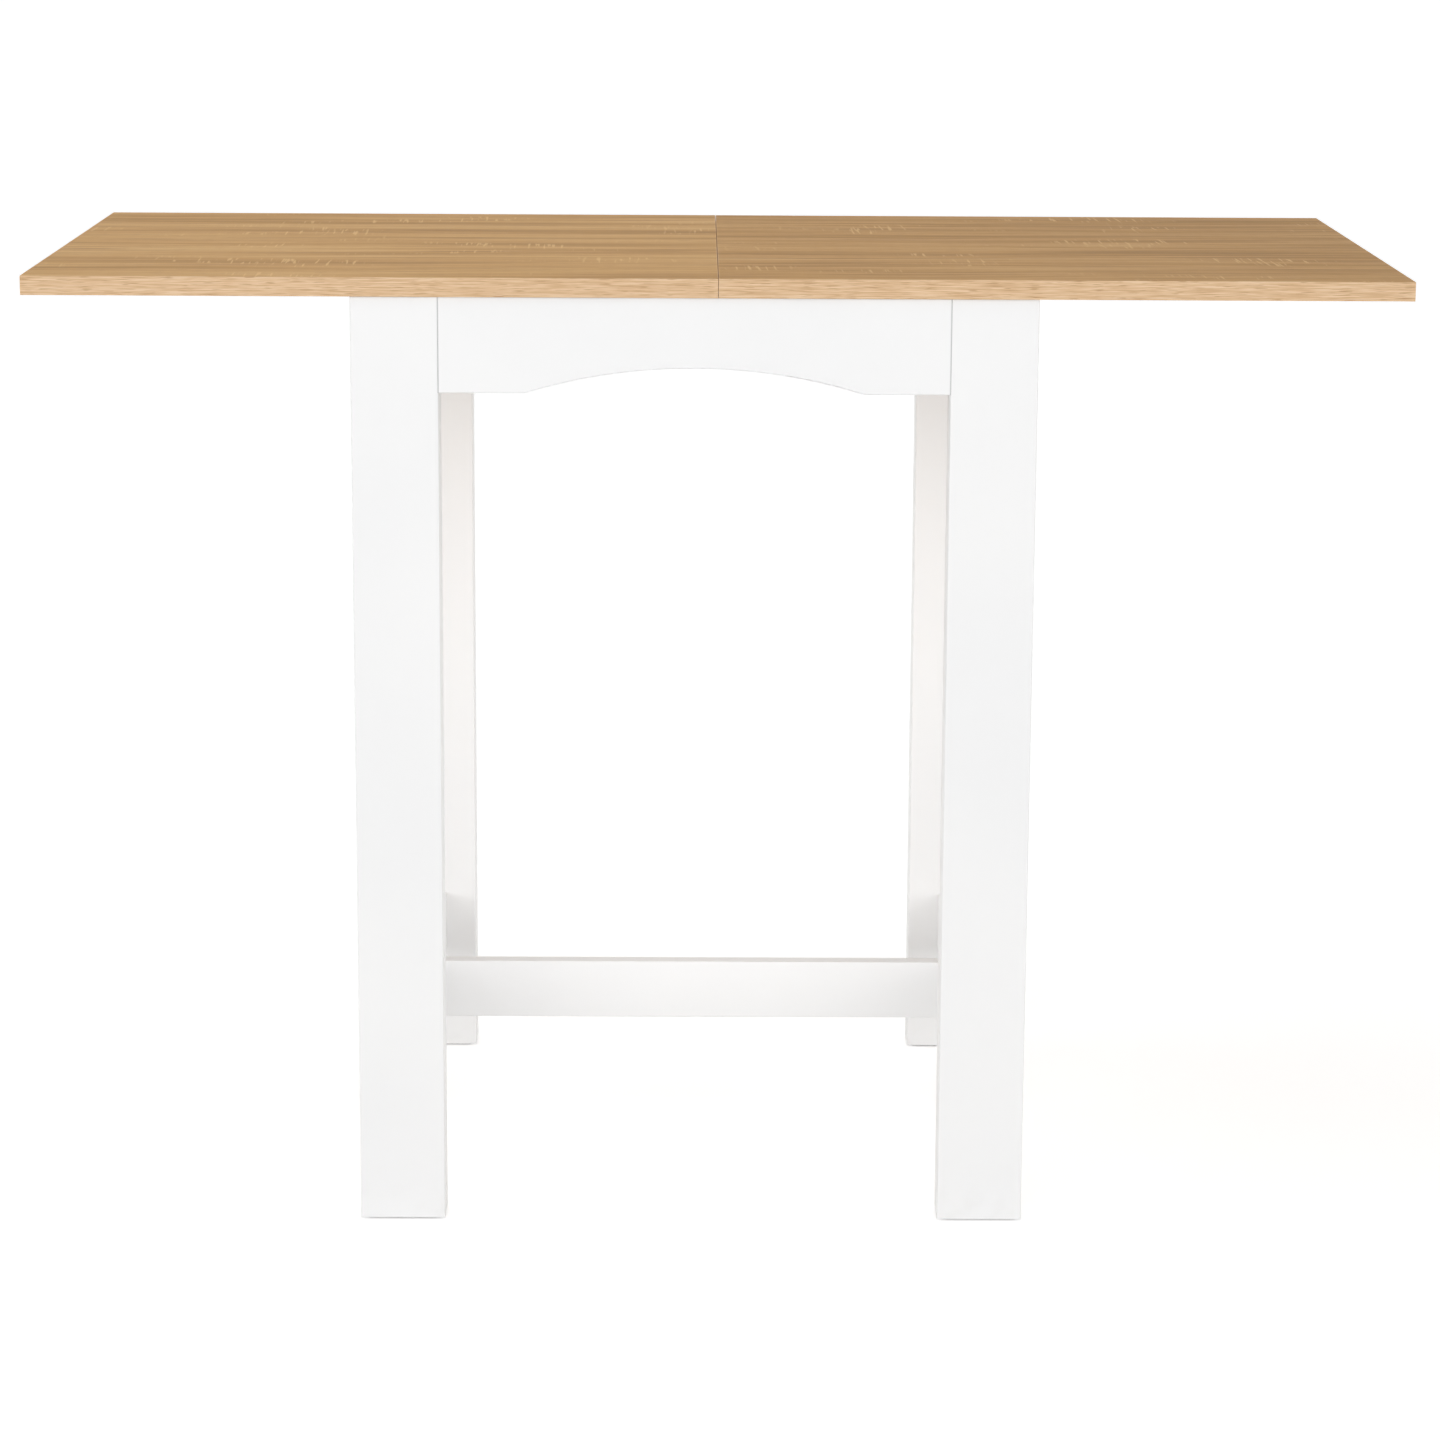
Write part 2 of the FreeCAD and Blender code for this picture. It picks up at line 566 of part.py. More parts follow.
def centre_stretcher():
    """The low rail between the two side stretchers, with a barrel nut behind each end."""
    body = new_body("stretcher_centre")
    sketch = sketch_on(body, "YZ_Plane")
    draw_box(sketch, -S.stretcher_thickness / 2, NOTHING, S.stretcher_thickness / 2, S.stretcher_height)
    pad(body, sketch, centre_stretcher_span)
    round_edges(body, S.edge_round, lambda a, b: not same(a.x, b.x))
    dowel_holes = [(NOTHING, S.stretcher_dowel_lift, dowel_hole)]
    bolt_holes = [(NOTHING, S.stretcher_bolt_lift, bolt_hole)]
    bolt_depth = S.stretcher_bolt_length - S.stretcher_thickness + S.hole_spare
    for level, reverse in ((NOTHING, True), (centre_stretcher_span, False)):
        drill(body, "YZ_Plane", level, dowel_holes, deep_dowel + S.hole_spare, reverse)
        drill(body, "YZ_Plane", level, bolt_holes, bolt_depth, reverse)
    nut_hole = S.barrel_nut_diameter / 2 + S.hole_clearance
    nut_places = (S.barrel_nut_reach, centre_stretcher_span - S.barrel_nut_reach)
    nut_holes = [(place_x, S.stretcher_bolt_lift, nut_hole) for place_x in nut_places]
    nut_depth = S.stretcher_thickness / 2 + S.barrel_nut_length / 2
    drill(body, "XZ_Plane", -S.stretcher_thickness / 2, nut_holes, nut_depth, True)
    left = side_stretcher_left + S.stretcher_thickness / 2
    return keep(place(body, left, NOTHING, S.stretcher_lift))


def build_stretchers():
    side_stretcher("stretcher_left", side_stretcher_left, frame_front + S.leg_depth, 0)
    side_stretcher("stretcher_right", side_stretcher_right, frame_back - S.leg_depth, 180)
    centre_stretcher()


def joint_block(label, x, y, turn):
    """A block in the corner of a side apron and a leg: bolts into the leg, screws into the apron."""
    body = new_body(label)
    sketch = sketch_on(body, "XY_Plane")
    draw_box(sketch, NOTHING, NOTHING, S.block_width, S.block_length)
    pad(body, sketch, S.block_height)
    middle = S.block_height / 2
    bolts = [(S.block_width / 2, middle + S.block_bolt_pitch / 2 * side, bolt_hole) for side in (-1, 1)]
    drill(body, "XZ_Plane", NOTHING, bolts, S.block_length)
    screws = [(offset, middle, screw_hole) for offset in block_screw_offsets()]
    drill(body, "YZ_Plane", S.block_width, screws, S.block_width)
    return keep(place(body, x, y, frame_top - S.block_drop - S.block_height, turn))


def build_joint_blocks():
    front, back = frame_front + S.leg_depth, frame_back - S.leg_depth
    left, right = frame_left + S.apron_thickness, frame_right - S.apron_thickness
    joint_block("joint_block_front_left", left, front, 0)
    joint_block("joint_block_front_right", right - S.block_width, front, 0)
    joint_block("joint_block_back_left", left + S.block_width, back, 180)
    joint_block("joint_block_back_right", right, back, 180)


def guide_rail(label, x, y, turn):
    """A rail on the inner face of a long apron, with a groove in its own inner face."""
    body = new_body(label)
    sketch = sketch_on(body, "YZ_Plane")
    inner, floor = S.rail_width, S.rail_width - S.groove_depth
    groove_bottom, groove_top = S.groove_lift, S.groove_lift + S.groove_height
    draw_outline(sketch, [
        (NOTHING, NOTHING), (inner, NOTHING), (inner, groove_bottom), (floor, groove_bottom),
        (floor, groove_top), (inner, groove_top), (inner, S.rail_height), (NOTHING, S.rail_height),
    ])
    pad(body, sketch, long_apron_span)
    steps = rail_screw_steps()
    shanks = [(step, S.rail_screw_lift, screw_hole) for step in steps]
    drill(body, "XZ_Plane", -S.rail_width, shanks, S.rail_width, True)
    head_hole = S.screw_head_diameter / 2 + S.hole_clearance
    heads = [(step, S.rail_screw_lift, head_hole) for step in steps]
    drill(body, "XZ_Plane", -S.rail_width, heads, S.screw_head_height, True)
    return keep(place(body, x, y, rail_bottom, turn))


def runner_screw_steps():
    """Runner screws along the runner, from its left end."""
    return between(S.runner_screw_inset, runner_length - S.runner_screw_inset, RUNNER_SCREWS)


def runner(label, x, y, turn):
    """A cleat under the sliding leaf, with a tongue along its outer side."""
    body = new_body(label)
    sketch = sketch_on(body, "YZ_Plane")
    near, far = tongue_depth, tongue_depth + S.runner_width
    tongue_top = tongue_lift + tongue_height
    draw_outline(sketch, [
        (near, NOTHING), (far, NOTHING), (far, S.runner_height), (near, S.runner_height),
        (near, tongue_top), (NOTHING, tongue_top), (NOTHING, tongue_lift), (near, tongue_lift),
    ])
    pad(body, sketch, runner_length)
    middle = tongue_depth + S.runner_width / 2
    steps = runner_screw_steps()
    drill(body, "XY_Plane", NOTHING, [(step, middle, screw_hole) for step in steps], S.runner_height, True)
    head_hole = S.screw_head_diameter / 2 + S.hole_clearance
    drill(body, "XY_Plane", NOTHING, [(step, middle, head_hole) for step in steps], S.screw_head_height, True)
    return keep(place(body, x, y, runner_bottom, turn))


def build_slide():
    rail_y = frame_half_depth - S.apron_thickness
    guide_rail("guide_rail_front", rail_left, -rail_y, 0)
    guide_rail("guide_rail_back", rail_left + long_apron_span, rail_y, 180)
    runner_left = rail_left + S.stop_clearance
    runner("runner_front", runner_left, -runner_outer, 0)
    runner("runner_back", runner_left + runner_length, runner_outer, 180)


def plain_box(label, length, width, height):
    box = doc.addObject("Part::Box", label)
    bind(box, "Length", length)
    bind(box, "Width", width)
    bind(box, "Height", height)
    return box


def strips_and_pads():
    """Glide strips let the leaf slide on the long aprons, and pads stand under the legs."""
    strip_length = long_apron_span - S.strip_inset * 2
    strip = plain_box("glide_strip", strip_length, S.strip_width, S.strip_thickness)
    strip_x = rail_left + S.strip_inset
    strip_y = frame_front + S.apron_thickness / 2 - S.strip_width / 2
    copies("glide_strips", strip, [
        (strip_x, strip_y, frame_top, "+z"), (strip_x, -strip_y - S.strip_width, frame_top, "+z"),
    ])
    pad_length, pad_width = S.leg_width - S.pad_inset * 2, S.leg_depth - S.pad_inset * 2
    pad_box = plain_box("foot_pad", pad_length, pad_width, S.pad_thickness)
    pad_xs = (frame_left + S.pad_inset, frame_right - S.pad_inset - pad_length)
    pad_ys = (frame_front + S.pad_inset, frame_back - S.pad_inset - pad_width)
    copies("foot_pads", pad_box, [(x, y, NOTHING, "+z") for x in pad_xs for y in pad_ys])


def headed(label, radius, length, head_radius, head_height, recess_radius, recess_depth, point):
    """A screw or bolt on its own Z axis: its head stands above Z = 0, and its shank runs down from it.

    The shank narrows by the point towards its tip.
    """
    recess_floor = head_height - recess_depth
    return revolved(label, [
        (NOTHING, recess_floor), (recess_radius / 2, recess_floor), (recess_radius, head_height),
        (head_radius, head_height), (head_radius, NOTHING), (radius, NOTHING),
        (radius, point * POINT_SLOPE - length), (radius - point, -length), (NOTHING, -length),
    ])


def wood_screw(label, length):
    return headed(
        label, S.screw_diameter / 2, length, S.screw_head_diameter / 2, S.screw_head_height,
        S.screw_recess / 2, S.screw_recess_depth, S.screw_point,
    )


def flat_head_bolt(label, length):
    return headed(
        label, S.bolt_diameter / 2, length, S.bolt_head_diameter / 2, S.bolt_head_height,
        S.bolt_socket / 2, S.bolt_socket_depth, S.bolt_chamfer,
    )


def ring(label, outer_radius, inner_radius, height):
    return revolved(label, [
        (inner_radius, NOTHING), (outer_radius, NOTHING), (outer_radius, height), (inner_radius, height),
    ])


def build_dowels():
    end, bevel, radius = S.dowel_length / 2, S.dowel_chamfer, dowel_radius
    dowel = revolved("dowel", [
        (NOTHING, -end), (radius - bevel, -end), (radius, bevel - end), (radius, end - bevel),
        (radius - bevel, end), (NOTHING, end),
    ])
    heights = (frame_top - S.dowel_drop_upper, frame_top - S.dowel_drop_lower)
    long_y, side_x = frame_half_depth - S.apron_thickness / 2, S.apron_thickness / 2
    joints = []
    for height in heights:
        for x in (frame_left + S.leg_width, frame_right - S.leg_width):
            joints += [(x, -long_y, height, "+x"), (x, long_y, height, "+x")]
        for y in (frame_front + S.leg_depth, frame_back - S.leg_depth):
            joints += [(frame_left + side_x, y, height, "+y"), (frame_right - side_x, y, height, "+y")]
    copies("apron_dowels", dowel, joints)
    height = S.stretcher_lift + S.stretcher_dowel_lift
    joints = []
    for x in (side_stretcher_left, side_stretcher_right):
        joints += [(x, frame_front + S.leg_depth, height, "+y"), (x, frame_back - S.leg_depth, height, "+y")]
    inward = S.stretcher_thickness / 2 + S.dowel_length / 2 - shallow_dowel
    joints.append((side_stretcher_left + inward, NOTHING, height, "+x"))
    joints.append((side_stretcher_right - inward, NOTHING, height, "+x"))
    copies("stretcher_dowels", dowel, joints)


def build_stretcher_fittings():
    height = S.stretcher_lift + S.stretcher_bolt_lift
    stem, thread = S.cam_bolt_diameter / 2, S.cam_thread_diameter / 2
    neck, reach = S.cam_neck_diameter / 2, S.cam_reach - S.cam_diameter / 2 - S.hole_spare
    cam_bolt = revolved("cam_bolt", [
        (NOTHING, -S.cam_thread_length), (thread, -S.cam_thread_length), (thread, NOTHING), (stem, NOTHING),
        (stem, reach), (neck, reach), (neck, S.cam_reach), (NOTHING, S.cam_reach),
    ])
    ends = [(frame_front + S.leg_depth, "+y", 1), (frame_back - S.leg_depth, "-y", -1)]
    sides = (side_stretcher_left, side_stretcher_right)
    copies("cam_bolts", cam_bolt, [(x, y, height, way) for x in sides for y, way, _ in ends])
    cam_radius, slot, floor = S.cam_diameter / 2, S.screw_recess / 2, S.cam_height - S.screw_recess_depth
    cam = revolved("cam_lock", [
        (NOTHING, NOTHING), (cam_radius, NOTHING), (cam_radius, S.cam_height), (slot, S.cam_height),
        (slot / 2, floor), (NOTHING, floor),
    ])
    seat = S.cam_height - S.stretcher_thickness / 2
    neck_hole = sketch_on(cam, "XZ_Plane")
    draw_circle(neck_hole, NOTHING, seat, neck + S.hole_clearance)
    pocket(cam, neck_hole, S.cam_diameter * THROUGH, middle=True)
    locks = []
    for y, _, sign in ends:
        cam_y = y + S.cam_reach * sign
        locks += [(side_stretcher_left - seat, cam_y, height, "+x")]
        locks += [(side_stretcher_right + seat, cam_y, height, "-x")]
    copies("cam_locks", cam, locks)
    outer = S.stretcher_thickness / 2
    bolt = flat_head_bolt("stretcher_bolt", S.stretcher_bolt_length)
    copies("stretcher_bolts", bolt, [
        (side_stretcher_left - outer, NOTHING, height, "-x"),
        (side_stretcher_right + outer, NOTHING, height, "+x"),
    ])
    nut = barrel_nut()
    reach = outer + S.barrel_nut_reach
    copies("barrel_nuts", nut, [
        (side_stretcher_left + reach, NOTHING, height, "+z"),
        (side_stretcher_right - reach, NOTHING, height, "+z"),
    ])


def barrel_nut():
    """A barrel nut along Y with a plain hole for its bolt along X."""
    body = new_body("barrel_nut")
    sketch = sketch_on(body, "XZ_Plane")
    draw_circle(sketch, NOTHING, NOTHING, S.barrel_nut_diameter / 2)
    pad(body, sketch, S.barrel_nut_length, middle=True)
    hole = sketch_on(body, "YZ_Plane")
    draw_circle(hole, NOTHING, NOTHING, bolt_hole)
    pocket(body, hole, S.barrel_nut_diameter * THROUGH, middle=True)
    return body


def build_block_fittings():
    middle = frame_top - S.block_drop - S.block_height / 2
    heights = [middle + S.block_bolt_pitch / 2 * side for side in (-1, 1)]
    inward = S.apron_thickness + S.block_width / 2
    columns = (frame_left + inward, frame_right - inward)
    seats = ((frame_front + S.leg_depth, "+y", 1), (frame_back - S.leg_depth, "-y", -1))
    bolts, washers, inserts = [], [], []
    for x in columns:
        for face, way, sign in seats:
            for height in heights:
                inner = face + S.block_length * sign
                washers.append((x, inner, height, way))
                bolts.append((x, inner + S.washer_thickness * sign, height, way))
                inserts.append((x, face - S.insert_length * sign, height, way))
    copies("block_bolts", flat_head_bolt("block_bolt", S.block_bolt_length), bolts)
    washer = ring("washer", S.washer_diameter / 2, bolt_hole, S.washer_thickness)
    copies("block_washers", washer, washers)
    insert = ring("insert", S.insert_diameter / 2, bolt_hole, S.insert_length)
    copies("threaded_inserts", insert, inserts)
    screws = []
    for offset in block_screw_offsets():
        for face, _, sign in seats:
            y = face + offset * sign
            screws.append((frame_left + S.apron_thickness + S.block_width, y, middle, "+x"))
            screws.append((frame_right - S.apron_thickness - S.block_width, y, middle, "-x"))
    copies("block_screws", wood_screw("block_screw", block_screw_length), screws)


def build_slide_screws():
    height = rail_bottom + S.rail_screw_lift
    seat = frame_half_depth - S.apron_thickness - S.rail_width + S.screw_head_height
    screws = []
    for step in rail_screw_steps():
        screws += [(rail_left + step, -seat, height, "+y"), (rail_left + step, seat, height, "-y")]
    copies("rail_screws", wood_screw("rail_screw", rail_screw_length), screws)
    left, seat = rail_left + S.stop_clearance, runner_bottom + S.screw_head_height
    y = runner_outer - tongue_depth - S.runner_width / 2
    screws = []
    for step in runner_screw_steps():
        screws += [(left + step, -y, seat, "-z"), (left + step, y, seat, "-z")]
    copies("runner_screws", wood_screw("runner_screw", runner_screw_length), screws)


def mortise_sketch(body, level, middle_y, top):
    """The three round-ended hinge mortises on a seam edge, below the top of the leaf."""
    sketch = sketch_on(body, "YZ_Plane", level)
    radius = mortise_height / 2
    half = mortise_length / 2 - radius
    for step in HINGE_PLACES:
        centre = middle_y + S.hinge_spacing * step
        draw_slot(sketch, centre - half, centre + half, top - S.top_skin - radius, radius)
    return sketch


def cup_screw_places(middle_y):
    """Hinge screws along a seam edge."""
    places = []
    for step in HINGE_PLACES:
        for side in (-1, 1):
            places.append(middle_y + S.hinge_spacing * step + S.cup_screw_pitch / 2 * side)
    return places


def leaf_board(label, x, y, turn, runner_holes):
    """A leaf's board, with its seam edge on its own +X side and hinge mortises in that edge."""
    body = new_body(label)
    sketch = sketch_on(body, "XY_Plane")
    draw_box(sketch, NOTHING, NOTHING, board_length, board_depth)
    pad(body, sketch, S.leaf_thickness)
    middle = board_depth / 2
    mortises = mortise_sketch(body, board_length, middle, S.leaf_thickness)
    pocket(body, mortises, mortise_depth - S.edging_thickness)
    pilot = S.cup_screw_diameter / 2 + S.hole_clearance
    height = S.leaf_thickness - S.top_skin - mortise_height / 2
    pilots = [(place_y, height, pilot) for place_y in cup_screw_places(middle)]
    drill(body, "YZ_Plane", board_length, pilots, S.cup_screw_length + S.hole_spare)
    if runner_holes:
        drill(body, "XY_Plane", NOTHING, runner_holes, screw_hole_depth, True)
    return keep(place(body, x, y, leaf_bottom, turn))


def leaf_edging(label, x, y, turn):
    """Four strips round a leaf. The one on the seam edge is cut out at the hinges."""
    long_strips = []
    for side_y in (NOTHING, S.leaf_depth - S.edging_thickness):
        strip = plain_box(f"{label}_long", S.leaf_length, S.edging_thickness, S.leaf_thickness)
        long_strips.append(place(strip, NOTHING, side_y, NOTHING))
    end_strip = plain_box(f"{label}_end", S.edging_thickness, board_depth, S.leaf_thickness)
    place(end_strip, NOTHING, S.edging_thickness, NOTHING)
    seam_strip = new_body(f"{label}_seam")
    sketch = sketch_on(seam_strip, "YZ_Plane")
    draw_box(sketch, NOTHING, NOTHING, board_depth, S.leaf_thickness)
    pad(seam_strip, sketch, S.edging_thickness)
    mortises = mortise_sketch(seam_strip, S.edging_thickness, board_depth / 2, S.leaf_thickness)
    pocket(seam_strip, mortises, S.edging_thickness)
    place(seam_strip, S.leaf_length - S.edging_thickness, S.edging_thickness, NOTHING)
    group = doc.addObject("Part::Compound", label)
    group.Label = label
    group.Links = long_strips + [end_strip, seam_strip]
    doc.recompute()
    return keep(place(group, x, y, leaf_bottom, turn))


def build_leaves():
    outer = S.leaf_length + seam_edge
    half_depth = S.leaf_depth / 2
    board_outer, board_half = outer - S.edging_thickness, half_depth - S.edging_thickness
    screw_y = runner_outer - tongue_depth - S.runner_width / 2
    screw_left = rail_left + S.stop_clearance + board_outer
    holes = []
    for step in runner_screw_steps():
        holes.append((screw_left + step, board_half - screw_y, screw_hole))
        holes.append((screw_left + step, board_half + screw_y, screw_hole))
    leaf_board("left_leaf", -board_outer, -board_half, 0, holes)
    leaf_edging("left_leaf_edging", -outer, -half_depth, 0)
    leaf_board("right_leaf", board_outer, board_half, 180, [])
    leaf_edging("right_leaf_edging", outer, half_depth, 180)


def hinge_cup():
    """Half of a concealed hinge: a round-ended block with a slot for the links.

    Its own origin is on the folding line, in the middle of the hinge, and it lies on the -X side.
    """
    body = new_body("hinge_cup")
    sketch = sketch_on(body, "YZ_Plane", -seam_edge)
    radius = mortise_height / 2 - S.cup_fit
    half = S.cup_length / 2 - radius
    middle = -S.fold_gap / 2 - S.top_skin - mortise_height / 2
    draw_slot(sketch, -half, half, middle, radius)
    pad(body, sketch, cup_depth, True)
    slot = sketch_on(body, "XY_Plane", middle)
    draw_box(slot, -cup_slot_depth, -S.cup_slot_width / 2, NOTHING, S.cup_slot_width / 2)
    pocket(body, slot, mortise_height * THROUGH, middle=True)
    pin_hole = sketch_on(body, "XZ_Plane")
    draw_circle(pin_hole, -hinge_reach, -hinge_reach, S.pin_diameter / 2 + S.pin_clearance)
    pocket(body, pin_hole, S.pin_length + S.hole_clearance * 2, middle=True)
    screws = [-S.cup_screw_pitch / 2, S.cup_screw_pitch / 2]
    shank, head = S.cup_screw_diameter / 2, S.cup_screw_head_diameter / 2
    drill(body, "YZ_Plane", -seam_edge, [(y, middle, shank + S.hole_clearance) for y in screws], cup_depth)
    drill(body, "YZ_Plane", -seam_edge, [(y, middle, head + S.hole_clearance) for y in screws],
          S.cup_screw_head_height)
    return body


def link_outline(sketch, bar_reach):
    """A hooked link in XZ: an arm down from its pin and a bar across under the seam, from its own -X side."""
    left, right = -hinge_reach - S.link_eye, S.link_eye - hinge_reach
    bar_bottom = S.link_floor - hinge_drop
    bar_top = bar_bottom + S.link_bar
    draw_outline(sketch, [
        (left, -hinge_reach), (left, bar_bottom), (bar_reach, bar_bottom), (bar_reach, bar_top),
        (right, bar_top), (right, -hinge_reach),
    ])


def link_plate(label, thickness, level, bar_reach):
    """A hooked plate with a round eye on its pin, level millimetres from the middle of the hinge."""
    body = new_body(label)
    hook = sketch_on(body, "XZ_Plane", level)
    link_outline(hook, bar_reach)
    pad(body, hook, thickness)
    eye = sketch_on(body, "XZ_Plane", level)
    draw_circle(eye, -hinge_reach, -hinge_reach, S.link_eye)
    pad(body, eye, thickness)
    bore = sketch_on(body, "XZ_Plane", level)
    draw_circle(bore, -hinge_reach, -hinge_reach, S.pin_diameter / 2 + S.pin_clearance)
    pocket(body, bore, thickness, True)
    return body


def build_hinges():
    """Three concealed hinges. Both links of a hinge stay level with each other through the fold.

    The pins are hinge_reach down and away from the folding line, so they stand twice that apart when the
    top is open or folded, and root two times as far at the half fold. The bars slide past each other by
    the difference, on a pin in the forked link and a slot in the tongue link.
    """
    stretch = hinge_reach * 2 * (math.sqrt(2) - 1)
    slide_radius = S.slide_pin_diameter / 2
    bar_middle = S.link_floor + S.link_bar / 2 - hinge_drop
    fork_level = S.tongue_plate / 2 + S.plate_clearance
    fork_reach = slide_radius + S.link_bar_end
    near_plate = link_plate("fork_near", S.fork_plate, fork_level, fork_reach)
    far_plate = link_plate("fork_far", S.fork_plate, -fork_level - S.fork_plate, fork_reach)
    slide_pin = doc.addObject("Part::Cylinder", "slide_pin")
    bind(slide_pin, "Radius", slide_radius)
    pin_span = (fork_level + S.fork_plate) * 2
    bind(slide_pin, "Height", pin_span)
    place(slide_pin, NOTHING, pin_span / 2, bar_middle, 90, FreeCAD.Vector(1, 0, 0))
    plates = doc.addObject("Part::Fuse", "fork_plates")
    plates.Base, plates.Tool = near_plate, slide_pin
    fork = doc.addObject("Part::Fuse", "fork")
    fork.Base, fork.Tool = plates, far_plate
    tongue_reach = stretch + slide_radius + S.link_bar_end
    tongue = link_plate("tongue", S.tongue_plate, -S.tongue_plate / 2, tongue_reach)
    slot = sketch_on(tongue, "XZ_Plane", -S.tongue_plate / 2)
    slot_spare = S.hole_clearance * 2
    draw_slot(slot, -slot_spare, stretch + slot_spare, bar_middle, slide_radius + S.hole_clearance)
    pocket(tongue, slot, S.tongue_plate, True)
    middles = [S.hinge_spacing * step for step in HINGE_PLACES]
    cup = hinge_cup()
    copies("hinge_cups_left", cup, [(NOTHING, y, fold_line, "+z") for y in middles])
    copies("hinge_cups_right", cup, [(NOTHING, y, fold_line, "about") for y in middles])
    copies("hinge_links_left", fork, [(NOTHING, y, fold_line, "+z") for y in middles])
    copies("hinge_links_right", tongue, [(NOTHING, y, fold_line, "about") for y in middles])
    pin = doc.addObject("Part::Cylinder", "hinge_pin")
    bind(pin, "Radius", S.pin_diameter / 2)
    bind(pin, "Height", S.pin_length)
    height, end = fold_line - hinge_reach, S.pin_length / 2
    copies("hinge_pins_left", pin, [(-hinge_reach, y - end, height, "+y") for y in middles])
    copies("hinge_pins_right", pin, [(hinge_reach, y - end, height, "+y") for y in middles])
    shank_length = S.cup_screw_length - S.cup_screw_head_height
    screw = headed(
        "cup_screw", S.cup_screw_diameter / 2, shank_length, S.cup_screw_head_diameter / 2,
        S.cup_screw_head_height, S.screw_recess / 2, S.screw_recess_depth, S.screw_point,
    )
    seat = seam_edge + S.cup_screw_head_height
    height = S.table_height - S.top_skin - mortise_height / 2
    places = cup_screw_places(NOTHING)
    copies("hinge_screws_left", screw, [(-seat, y, height, "+x") for y in places])
    copies("hinge_screws_right", screw, [(seat, y, height, "-x") for y in places])


build_legs()
build_aprons()
build_stretchers()
build_joint_blocks()
build_slide()
strips_and_pads()
build_dowels()
build_stretcher_fittings()
build_block_fittings()
build_slide_screws()
build_leaves()
build_hinges()
doc.recompute()

for thing in doc.Objects:
    faults = [state for state in thing.State if state in ("Invalid", "Error")]
    if faults:
        raise RuntimeError(f"{thing.Label} did not build: {faults}")
for node in NODES:
    if node.Shape.isNull() or not node.Shape.isValid():
        raise RuntimeError(f"{node.Label} has no valid shape")
os.makedirs("parts", exist_ok=True)
for node in NODES:
    node.Shape.exportStep(f"parts/{node.Label}.step")
    print(f"{node.Label}: {len(node.Shape.Solids)} solids, {node.Shape.Volume:.0f} mm3")
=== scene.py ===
"""Looks of the extending bar table: oak-effect leaves on a white painted frame, with the beech, zinc, nylon
and felt under them. Sizes are in metres and colours in linear light."""
import math
import bpy
import numpy as np
from mathutils import Matrix, Vector


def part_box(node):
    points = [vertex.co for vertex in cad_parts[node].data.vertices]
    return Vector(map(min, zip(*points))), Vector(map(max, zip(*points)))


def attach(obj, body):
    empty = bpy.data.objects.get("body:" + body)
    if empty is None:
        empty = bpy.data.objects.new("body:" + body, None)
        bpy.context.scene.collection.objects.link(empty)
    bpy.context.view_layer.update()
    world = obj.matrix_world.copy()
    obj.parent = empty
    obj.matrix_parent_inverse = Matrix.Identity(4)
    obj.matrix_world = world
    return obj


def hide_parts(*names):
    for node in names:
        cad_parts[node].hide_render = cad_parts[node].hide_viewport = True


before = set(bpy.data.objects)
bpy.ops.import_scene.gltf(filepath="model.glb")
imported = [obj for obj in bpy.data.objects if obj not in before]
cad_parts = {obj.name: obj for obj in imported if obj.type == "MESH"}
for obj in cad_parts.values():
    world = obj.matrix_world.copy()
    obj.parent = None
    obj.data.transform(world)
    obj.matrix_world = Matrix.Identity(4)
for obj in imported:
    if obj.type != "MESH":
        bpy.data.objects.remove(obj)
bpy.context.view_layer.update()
scene = bpy.context.scene

# Woods in three tones, and what darkens or lightens them
OAK_LEFT = {"dark": (0.332, 0.176, 0.048), "mid": (0.496, 0.276, 0.085), "light": (0.600, 0.371, 0.153)}
OAK_RIGHT = {"dark": (0.303, 0.157, 0.040), "mid": (0.456, 0.248, 0.073), "light": (0.548, 0.331, 0.132)}
OAK_EDGE = {"dark": (0.600, 0.385, 0.212), "mid": (0.708, 0.484, 0.288), "light": (0.795, 0.582, 0.385)}
BEECH = {"dark": (0.440, 0.290, 0.165), "mid": (0.560, 0.395, 0.245), "light": (0.660, 0.490, 0.320)}
DOWEL = {"dark": (0.470, 0.330, 0.190), "mid": (0.600, 0.440, 0.275), "light": (0.690, 0.530, 0.350)}
DEEP_OF_DARK = (0.80, 0.74, 0.66)
FLECK_OF_LIGHT = (1.12, 1.16, 1.22)
# Painted shade along the seam between the leaves: its brown, and its share on the edge strips' flat faces and
# on their band
PAINTED_SEAM_BROWN = (0.34, 0.13, 0.004)
PAINTED_SEAM_SHARES = {"face": 0.46, "band": 0.23}

# How far the grain sways, and how strongly each part of it shows
GRAIN_FACE = {"Sway": 0.030, "Bands": 0.56, "Streaks": 0.40, "Fibres": 0.04, "Dashes": 0.90, "Pores": 0.45}
GRAIN_EDGE = {"Sway": 0.006, "Bands": 0.20, "Streaks": 0.18, "Fibres": 0.62, "Dashes": 0.10, "Pores": 0.90}
GRAIN_PLAIN = {"Sway": 0.030, "Bands": 0.50, "Streaks": 0.30, "Fibres": 0.20, "Dashes": 0.20, "Pores": 0.35}

# Features to the metre along the grain, across it and through the board
WANDER = (2.2, 7.0, 7.0)
BANDS = (1.4, 22.0, 22.0)
STREAKS = (4.0, 340.0, 340.0)
FIBRES = (26.0, 1100.0, 1100.0)
DASHES = (2.6, 170.0, 170.0)
PORES = (52.0, 1500.0, 1500.0)
FLECK_TICKS = (270.0, 15.0, 15.0)
FLECK_PATCHES = (5.0, 12.0, 12.0)

# How the flecks slant in degrees, where in the noise the pieces lie, how the grain of an edge strip is scaled
# across it, and how deep a pore is beside a streak
FLECK_SLANT = 4.0
PATCH_SHIFT = (4.0, 9.0, 2.0)
BOARD_SHIFT = (2.3, 0.7, 1.9)
EDGE_ACROSS = 0.75
PORE_DEPTH = 0.6

